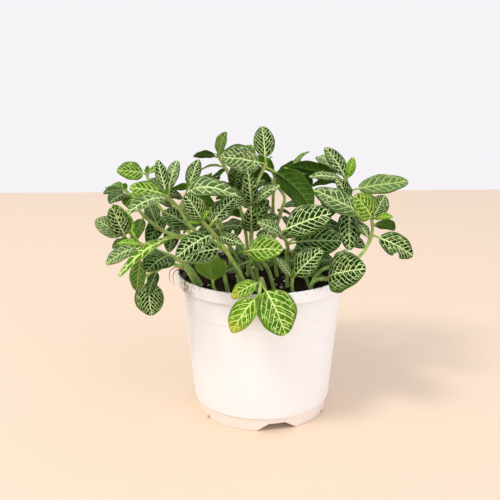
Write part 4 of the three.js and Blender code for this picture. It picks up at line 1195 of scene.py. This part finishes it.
def add_leaf(growth, grown, seed, blade_rows=BLADE_ROWS, columns=COLUMNS):
    """A leaf as one closed skin: a round petiole that opens into the two halves of the blade."""
    slim = min(1, grown.length / FULL_THICKNESS_LENGTH)
    steps = np.arange(blade_rows + 1) / (blade_rows + 1)
    u = 0.5 * steps + 0.5 * (0.5 - 0.5 * np.cos(pi * steps))
    petiole = np.linspace(PETIOLE_START, PETIOLE, PETIOLE_ROWS, endpoint=False)
    w = np.append(petiole, PETIOLE + (1 - PETIOLE) * u)
    u = (w - PETIOLE) / (1 - PETIOLE)
    s = np.linspace(-1, 1, columns + 1)
    top_v = s * (1 - EDGE_CROWDING + EDGE_CROWDING * s * s)
    v = np.concatenate([top_v, top_v[-2:0:-1]])
    face = np.concatenate([np.ones(columns + 1), -np.ones(columns - 1)])
    edge = np.abs(v) == 1
    w, u, v, face = w[:, None], u[:, None], v[None], face[None]
    blade = grown.half_width(u)
    stalk = slim * PETIOLE_HALF_WIDTH * (1 - smooth_step(u, 0.0, PETIOLE_ENDS))
    half = np.sqrt(blade ** 2 + stalk ** 2)
    opened = smooth_step(blade, BLADE_OPENS * slim, BLADE_OPEN * slim)
    if grown.look == "bitten":
        bite = BITE["depth"] * np.exp(-((u - BITE["place"]) / BITE["reach"]) ** 4)
        half = half * (1 - bite * smooth_step(v, 0, BITE["full_depth"]))
    rise = grown.rise(u, v, half) * opened
    across = half * v / grown.length
    phase = vein_phase(u, across, v, VEIN_COUNT - VEINS_LOST_YOUNG * LOOKS[grown.look][0])
    quilt = QUILT * grown.length * np.abs(np.sin(pi * phase)) ** QUILT_ROUNDNESS * opened * (1 - v ** 4)
    quilt = quilt * smooth_step(np.abs(across), *QUILT_OFF_MIDRIB) * smooth_step(1 - u, 0, QUILT_OFF_TIP)
    thin = np.sqrt(np.maximum(1 - v ** 8, 0))
    round_off = np.sqrt(np.maximum(1 - v * v, 0))
    shrink = 1 - THINNER_AT_TIP * np.clip(u, 0, 1)
    rib = np.exp(-(half * v / MIDRIB_WIDTH) ** 2) * MIDRIB_BELOW * shrink
    groove = np.exp(-(half * v / GROOVE_WIDTH) ** 2) * MIDRIB_GROOVE * shrink
    above = (1 - opened) * PETIOLE_TOP * round_off + opened * (BLADE_HALF_THICKNESS * thin - groove)
    below = (1 - opened) * PETIOLE_BELOW * round_off + opened * (BLADE_HALF_THICKNESS * thin + rib * thin)
    height = rise + quilt + slim * np.where(face > 0, above, -below) * np.where(edge, 0, 1)
    w3, half3, v3, height3 = (np.broadcast_to(a, height.shape)[..., None] for a in (w, half, v, height))
    centre = grown.midrib(w3)
    normal = grown.normal(w3[:, 0])[:, None]
    rings = centre + grown.side * half3 * v3 + normal * height3
    places = np.stack(np.broadcast_arrays(u, across, v), axis=-1)
    marks = np.zeros(rings.shape)
    marks[..., 0] = seed
    marks[..., 1] = np.broadcast_to(1 - opened, height.shape)
    marks[..., 2] = WORN.get(grown.look, 0)
    slots = [0] * columns + [1] * columns
    growth.add_rings(rings[:, ::-1], slots[::-1], places[:, ::-1], LOOKS[grown.look], marks[:, ::-1])


def add_tip(growth, part, seed):
    """The pair of small leaves that unfolds at a shoot's growing end."""
    points = part["points"]
    end = points[-1]
    forward = unit(end - point_on_path(points, len(points) - 1.1))
    last_pair = part["leaves"][0].along if part["leaves"] else np.array([1.0, 0, 0])
    across = unit(np.cross(forward, last_pair))
    for side, length in zip((1, -1), TIP_LENGTHS):
        heading = unit(forward + across * side * TIP_SPREAD)
        leaflet = Leaf(end, end + heading * length, TIP_LEAF, -across[:2] * side, 0)
        add_leaf(growth, leaflet, seed, TIP_ROWS, TIP_COLUMNS)


def vein_net(tree, youth):
    """What the shader knows of a leaf: its place on the leaf, the leaf's seed and wear, how far it is
    along, across and from the middle to the edge, and how far the nearest veins are, in steps
    between side veins."""
    place = add(tree, "ShaderNodeAttribute", attribute_name="leaf").outputs["Vector"]
    marks = add(tree, "ShaderNodeAttribute", attribute_name="marks").outputs["Vector"]
    seed, _, wear = add(tree, "ShaderNodeSeparateXYZ", {0: marks}).outputs
    own = add(tree, "ShaderNodeVectorMath", {0: place, 1: (WANDER_SCALE, WANDER_SCALE, 0.0)},
              operation="MULTIPLY")
    shift = add(tree, "ShaderNodeMath", {0: seed, 1: LEAF_SHIFT}, operation="MULTIPLY")
    shifted = add(tree, "ShaderNodeTexNoise", {"Vector": own, "W": shift, "Scale": 1.0, "Detail": 1.0},
                  noise_dimensions="4D").outputs["Color"]
    centred = add(tree, "ShaderNodeVectorMath", {0: shifted, 1: (0.5, 0.5, 0.5)}, operation="SUBTRACT")
    wander = add(tree, "ShaderNodeVectorMath", {0: centred, "Scale": VEIN_WANDER}, operation="SCALE")
    moved = add(tree, "ShaderNodeVectorMath", {0: place, 1: wander}, operation="ADD")
    along, side, _ = add(tree, "ShaderNodeSeparateXYZ", {0: moved}).outputs
    from_middle = add(tree, "ShaderNodeSeparateXYZ", {0: place}).outputs["Z"]
    edge = add(tree, "ShaderNodeMath", {0: from_middle}, operation="ABSOLUTE")
    across = add(tree, "ShaderNodeMath", {0: side}, operation="ABSOLUTE")
    right = add(tree, "ShaderNodeMath", {0: side, 1: 0.0}, operation="GREATER_THAN")

    # The phase counts the side veins along the leaf: it passes a whole number on each vein.
    past_start = add(tree, "ShaderNodeMath", {0: edge, 1: HOOK_START}, operation="SUBTRACT")
    hooked = add(tree, "ShaderNodeMath", {0: past_start, 1: 0.0}, operation="MAXIMUM")
    hook = add(tree, "ShaderNodeMath", {0: hooked, 1: 2.0}, operation="POWER")
    bend = add(tree, "ShaderNodeMath", {0: across, 1: across}, operation="MULTIPLY")
    lean = along
    for part, amount in ((across, VEIN_LEAN), (bend, VEIN_BEND), (hook, VEIN_HOOK)):
        lean = add(tree, "ShaderNodeMath", {0: part, 1: -amount, 2: lean}, operation="MULTIPLY_ADD")
    veins = add(tree, "ShaderNodeMath", {0: youth, 1: -VEINS_LOST_YOUNG, 2: VEIN_COUNT},
                operation="MULTIPLY_ADD")
    offset = add(tree, "ShaderNodeMath", {0: right, 1: SIDE_OFFSET}, operation="MULTIPLY")
    phase = add(tree, "ShaderNodeMath", {0: lean, 1: veins, 2: offset}, operation="MULTIPLY_ADD")
    strip = add(tree, "ShaderNodeMath", {0: phase}, operation="FLOOR")
    inside = add(tree, "ShaderNodeMath", {0: phase}, operation="FRACT")
    from_line = add(tree, "ShaderNodeMath", {0: phase, 1: 0.5}, operation="PINGPONG")
    to_side_vein = add(tree, "ShaderNodeMath", {0: from_line, 1: STRIP_WIDTH}, operation="MULTIPLY")

    # Cross veins part the strip between two side veins as rungs do, each strip in its own way. Some
    # cells are also parted down the middle.
    half_lane = add(tree, "ShaderNodeMath", {0: right, 1: SIDE_SHIFT, 2: shift}, operation="MULTIPLY_ADD")
    lane = add(tree, "ShaderNodeMath", {0: strip, 1: STRIP_SHIFT, 2: half_lane}, operation="MULTIPLY_ADD")
    bent = add(tree, "ShaderNodeTexNoise", {
        "Vector": own, "W": lane, "Scale": RUNG_WANDER_SCALE, "Detail": 1.0}, noise_dimensions="4D")
    steps_across = add(tree, "ShaderNodeMath", {0: across, 1: veins}, operation="MULTIPLY")
    rung = add(tree, "ShaderNodeMath", {0: steps_across, 1: RUNGS_PER_STEP}, operation="MULTIPLY")
    for part, amount in ((lane, RUNG_SHIFT), (bent, RUNG_WANDER), (inside, RUNG_SLANT)):
        rung = add(tree, "ShaderNodeMath", {0: part, 1: amount, 2: rung}, operation="MULTIPLY_ADD")
    ladder, cell = (add(tree, "ShaderNodeTexVoronoi", {"W": rung, "Scale": 1.0, "Randomness": 0.75},
                        voronoi_dimensions="1D", feature=feature).outputs
                    for feature in ("DISTANCE_TO_EDGE", "F1"))
    to_rung = add(tree, "ShaderNodeMath", {0: ladder["Distance"], 1: 1 / RUNGS_PER_STEP},
                  operation="MULTIPLY")
    off_middle = add(tree, "ShaderNodeMath", {0: inside, 1: 0.75}, operation="SUBTRACT")
    off_middle = add(tree, "ShaderNodeMath", {0: bent, 1: 0.5, 2: off_middle}, operation="MULTIPLY_ADD")
    off_middle = add(tree, "ShaderNodeMath", {0: off_middle}, operation="ABSOLUTE")
    to_middle = add(tree, "ShaderNodeMath", {0: off_middle, 1: STRIP_WIDTH}, operation="MULTIPLY")
    whole = add(tree, "ShaderNodeMath", {0: cell["Color"], 1: PARTED_CELLS}, operation="GREATER_THAN")
    to_parting = add(tree, "ShaderNodeMath", {0: to_middle, 1: whole}, operation="ADD")
    to_cross_vein = add(tree, "ShaderNodeMath", {0: to_rung, 1: to_parting}, operation="MINIMUM")
    return place, seed, wear, along, across, edge, to_side_vein, to_cross_vein


def leaf_blade(name, upper):
    """Living leaf: a satin skin over wet green cells, which lets light through. Above, white veins part deep
    green cells, under a grey-green painted sheen on some leaves; below, the veins stand out a little, and
    all is a plain soft green darkened with painted shade."""
    material, tree, shader = new_material(name)
    look = add(tree, "ShaderNodeAttribute", attribute_name="look").outputs["Vector"]
    youth, strength, painted_sheen = add(tree, "ShaderNodeSeparateXYZ", {0: look}).outputs
    place, seed, wear, along, across, edge, to_side_vein, to_cross_vein = vein_net(tree, youth)
    inward = add(tree, "ShaderNodeMath", {0: 1.0, 1: edge}, operation="SUBTRACT")
    to_tip = add(tree, "ShaderNodeMath", {0: 1.0, 1: along}, operation="SUBTRACT")
    freckles = add(tree, "ShaderNodeTexNoise", {"Vector": place, "Scale": 9.0, "Detail": 1.0})
    unspotted = add(tree, "ShaderNodeMath", {0: 1.0, 1: freckles}, operation="SUBTRACT")

    # Each mask is full where its measure is under the first number, and gone over the second.
    fades = {"base": (along, 0.0, 1.0), "petiole": (along, -0.02, 0.03),
             "cross_vein": (to_cross_vein, *CROSS_VEIN), "margin": (inward, *MARGIN_VEIN),
             "by_side_vein": (to_side_vein, 0.0, 0.15), "by_midrib": (across, 0.0, 0.035),
             "yellow": (to_tip, 0.10, 0.40), "brown": (to_tip, 0.02, 0.07),
             "spots": (unspotted, 0.34, 0.38)}
    mask = {label: add(tree, "ShaderNodeMapRange", {"Value": measure, "From Min": gone, "From Max": full},
                       interpolation_type="SMOOTHSTEP")
            for label, (measure, full, gone) in fades.items()}
    tapered = []
    for measure, thick, full, gone in ((across, mask["base"], MIDRIB_FULL, MIDRIB_END),
                                       (to_side_vein, inward, SIDE_VEIN_FULL, SIDE_VEIN_END)):
        ends = [add(tree, "ShaderNodeMath", {0: thick, 1: gain, 2: thin}, operation="MULTIPLY_ADD")
                for thin, gain in (full, gone)]
        tapered.append(add(tree, "ShaderNodeMapRange", {
            "Value": measure, "From Min": ends[1], "From Max": ends[0]}, interpolation_type="SMOOTHSTEP"))
    ribs = add(tree, "ShaderNodeMath", {0: tapered[0], 1: tapered[1]}, operation="MAXIMUM")
    own_shift = add(tree, "ShaderNodeMath", {0: seed, 1: TONE_SHIFT}, operation="MULTIPLY")
    own = add(tree, "ShaderNodeTexNoise", {"Vector": place, "W": own_shift, "Scale": 3.5, "Detail": 3.0},
              noise_dimensions="4D")
    tone = add(tree, "ShaderNodeMapRange", {"Value": own, "From Min": 0.3, "From Max": 0.7})
    old, young = (add(tree, "ShaderNodeMix", {"Factor": tone, "A": dark, "B": light}, data_type="RGBA")
                  for dark, light in (CELLS_ABOVE if upper else CELLS_BELOW))
    colour = add(tree, "ShaderNodeMix", {"Factor": youth, "A": old, "B": young}, data_type="RGBA")

    # The layers over the cells: where each lies, how much it covers there, and its colour.
    if upper:
        fine = add(tree, "ShaderNodeMath", {0: mask["cross_vein"], 1: mask["margin"]}, operation="MAXIMUM")
        fine = add(tree, "ShaderNodeMath", {0: fine, 1: FINE_VEIN_STRENGTH}, operation="MULTIPLY")
        net = add(tree, "ShaderNodeMath", {0: ribs, 1: fine}, operation="MAXIMUM")
        by_vein = add(tree, "ShaderNodeMath", {0: mask["by_side_vein"], 1: mask["by_midrib"]},
                      operation="MAXIMUM")
        fresh, veins = (
            add(tree, "ShaderNodeMix", {"Factor": youth, "A": of_old, "B": of_young}, data_type="RGBA")
            for of_old, of_young in (("#5A8E18", "#A4C834"), ("#DFF2AC", "#DDEE80")))
        shown = add(tree, "ShaderNodeMath", {0: strength, 1: 0.75, 2: 0.22}, operation="MULTIPLY_ADD")
        # The first layer is a painted sheen: grey-green where light would glance off the leaf's skin.
        layers = [(painted_sheen, 0.75, "#86A070"), (by_vein, 0.35, fresh), (net, shown, veins)]
        height = add(tree, "ShaderNodeMath", {0: 1.0, 1: net}, operation="SUBTRACT")
    else:
        layers = [(ribs, 0.40, "#7FA04E")]
        height = ribs
    ageing = add(tree, "ShaderNodeMath", {0: wear, 1: 2.0, 2: -1.0},
                 operation="MULTIPLY_ADD", use_clamp=True)
    spotty = add(tree, "ShaderNodeMath", {0: wear, 1: 0.5}, operation="PINGPONG")
    yellowed, browned, spotted = (
        add(tree, "ShaderNodeMath", {0: mask[label], 1: amount}, operation="MULTIPLY")
        for label, amount in (("yellow", ageing), ("brown", ageing), ("spots", spotty)))
    layers += [(mask["petiole"], 1.0, "#9DB85A"), (yellowed, 0.35, "#D8C22E"), (browned, 0.7, "#A8642C"),
               (spotted, 1.6, "#5E4320")]
    for where, how_much, tint in layers:
        share = add(tree, "ShaderNodeMath", {0: where, 1: how_much}, operation="MULTIPLY")
        colour = add(tree, "ShaderNodeMix", {"Factor": share, "A": colour, "B": tint}, data_type="RGBA")
    bump = add(tree, "ShaderNodeBump", {"Height": height, "Strength": 0.5, "Distance": 0.15 * MM})
    feed(shader, {"Base Color": colour, "Normal": bump, "Roughness": 0.42 if upper else 0.6, "IOR": 1.42,
                  "Specular IOR Level": 0.08, "Subsurface Weight": 0.25,
                  "Subsurface Radius": (0.6, 1.0, 0.25), "Subsurface Scale": 0.8 * MM})
    return material


def green_stem():
    """A soft young stem: pale yellow-green and moist, with streaks about 3 mm apart, brownish where
    old leaf pairs join it."""
    material, tree, shader = new_material("green_stem")
    place = add(tree, "ShaderNodeTexCoord").outputs["Object"]
    marks = add(tree, "ShaderNodeAttribute", attribute_name="marks").outputs["Vector"]
    joint = add(tree, "ShaderNodeSeparateXYZ", {0: marks}).outputs["Z"]
    streaks = add(tree, "ShaderNodeTexNoise", {"Vector": place, "Scale": 1 / (3 * MM), "Detail": 4})
    tone = add(tree, "ShaderNodeMapRange", {"Value": streaks, "From Min": 0.3, "From Max": 0.7})
    green = add(tree, "ShaderNodeMix", {"Factor": tone, "A": "#7FA23C", "B": "#B4CF74"}, data_type="RGBA")
    browned = add(tree, "ShaderNodeMath", {0: joint, 1: 0.45}, operation="MULTIPLY")
    colour = add(tree, "ShaderNodeMix", {"Factor": browned, "A": green, "B": "#9A7A45"}, data_type="RGBA")
    bump = add(tree, "ShaderNodeBump", {"Height": streaks, "Strength": 0.4, "Distance": 0.1 * MM})
    feed(shader, {"Base Color": colour, "Normal": bump, "Roughness": 0.5, "Subsurface Weight": 0.4,
                  "Subsurface Radius": (0.7, 1.0, 0.3), "Subsurface Scale": 1.0 * MM})
    return material


def clear_down():
    """Plant hair: water-clear, soft and very fine, so it shows as a pale fringe. It is drawn at
    about its real thickness."""
    material, _, shader = new_material("clear_plant_hair")
    feed(shader, {"Base Color": "#DDE8C0", "Roughness": 0.5, "Transmission Weight": 0.3})
    return material


def hair_tree():
    """Geometry Nodes that raise short hairs on a mesh, as close together as its marks ask."""
    tree, given = new_tree("downy_hairs", {
        "Geometry": "Geometry", "Hairs per area": "Float", "Length": "Float", "Thickness": "Float",
        "Seed": "Int", "Material": "Material"})
    marks = add(tree, "GeometryNodeInputNamedAttribute", {"Name": "marks"}, data_type="FLOAT_VECTOR")
    down = add(tree, "ShaderNodeSeparateXYZ", {0: marks}).outputs["Y"]
    density = add(tree, "ShaderNodeMath", {0: down, 1: given["Hairs per area"]}, operation="MULTIPLY")
    points = add(tree, "GeometryNodeDistributePointsOnFaces", {
        "Mesh": given["Geometry"], "Density": density, "Seed": given["Seed"]})
    hair = add(tree, "GeometryNodeMeshCone", {
        "Vertices": 3, "Radius Bottom": given["Thickness"], "Depth": given["Length"]})
    draw = add(tree, "FunctionNodeRandomValue", {
        0: (-0.6, -0.6, 0), 1: (0.6, 0.6, 6.28), "Seed": given["Seed"]}, data_type="FLOAT_VECTOR")
    lean = add(tree, "FunctionNodeEulerToRotation", {0: draw})
    turn = add(tree, "FunctionNodeRotateRotation", {
        "Rotation": points.outputs["Rotation"], "Rotate By": lean}, rotation_space="LOCAL")
    size = add(tree, "FunctionNodeRandomValue", {"Min": 0.5, "Max": 1.0, "Seed": given["Seed"]})
    return set_out(tree, points, hair, turn, size, given["Material"])


hairs = hair_tree()
hair_skin = clear_down()
foliage_materials = [leaf_blade("fittonia_leaf_upper_side", True),
                     leaf_blade("fittonia_leaf_underside", False), green_stem()]
look_draws = random_source(LOOK_SEED)
for one in grow():
    growth = Growth()
    for part in one["shoots"]:
        add_stem(growth, part, next(look_draws))
        for grown in part["leaves"]:
            add_leaf(growth, grown, next(look_draws))
        add_tip(growth, part, next(look_draws))
    leafy = growth.piece(one["name"] + "_leaves", foliage_materials)
    down = bpy.data.objects.new(one["name"] + "_down", leafy.data.copy())
    bpy.context.collection.objects.link(down)
    run_nodes(down, hairs, hairs_per_area=HAIRS_PER_AREA, length=HAIR_LENGTH, thickness=HAIR_THICKNESS,
              seed=5, material=hair_skin)
    for piece in (leafy, down):
        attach(piece, "root")
        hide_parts(one["name"])


# ---- The dry air roots --------------------------------------------------------------------------
# Two roots that grew into the air from the lowest stem and dried there. They hang over the left
# of the rim as thin brown threads, curled at their ends, and move with that stem.

AIR_ROOTS = [
    [(-47.5, -27, 98.5), (-50, -28.5, 99.2), (-53.2, -30, 97.5), (-53.9, -31, 94), (-53.2, -31.5, 91)],
    [(-46, -28, 98.2), (-48.4, -31.5, 99), (-50.9, -34, 97.2), (-51.2, -34.3, 93.5), (-50.6, -34.4, 89.5)],
]
AIR_ROOT_RADIUS = 0.38
AIR_ROOT_TAPER = 0.7
AIR_ROOT_RINGS = 41
AIR_ROOT_SIDES = 8


def dry_root():
    """Air roots that dried after they reached over the rim: thin, matt and straw brown, with their
    fibres drawn 1.5 mm apart so that they show."""
    material, tree, shader = new_material("dry_air_root")
    place = add(tree, "ShaderNodeTexCoord").outputs["Object"]
    fibres = add(tree, "ShaderNodeTexNoise", {"Vector": place, "Scale": 1 / (1.5 * MM), "Detail": 3.0})
    colour = add(tree, "ShaderNodeMix", {"Factor": fibres, "A": "#9C6F52", "B": "#CDA989"}, data_type="RGBA")
    feed(shader, {"Base Color": colour, "Roughness": 0.85})
    return material


roots = Growth()
for path in AIR_ROOTS:
    stops = np.linspace(0, len(path) - 1, AIR_ROOT_RINGS)
    centres = np.array([point_on_path(np.array(path), at) for at in stops])
    rings = tube(centres, AIR_ROOT_RADIUS * (1 - AIR_ROOT_TAPER * stops / stops[-1]), AIR_ROOT_SIDES)
    unmarked = np.zeros(rings.shape)
    roots.add_rings(rings, [0] * AIR_ROOT_SIDES, unmarked, (0, 0, 0), unmarked)
air_roots = roots.piece("air_roots", [dry_root()])
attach(air_roots, "root")
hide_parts("stem_07")
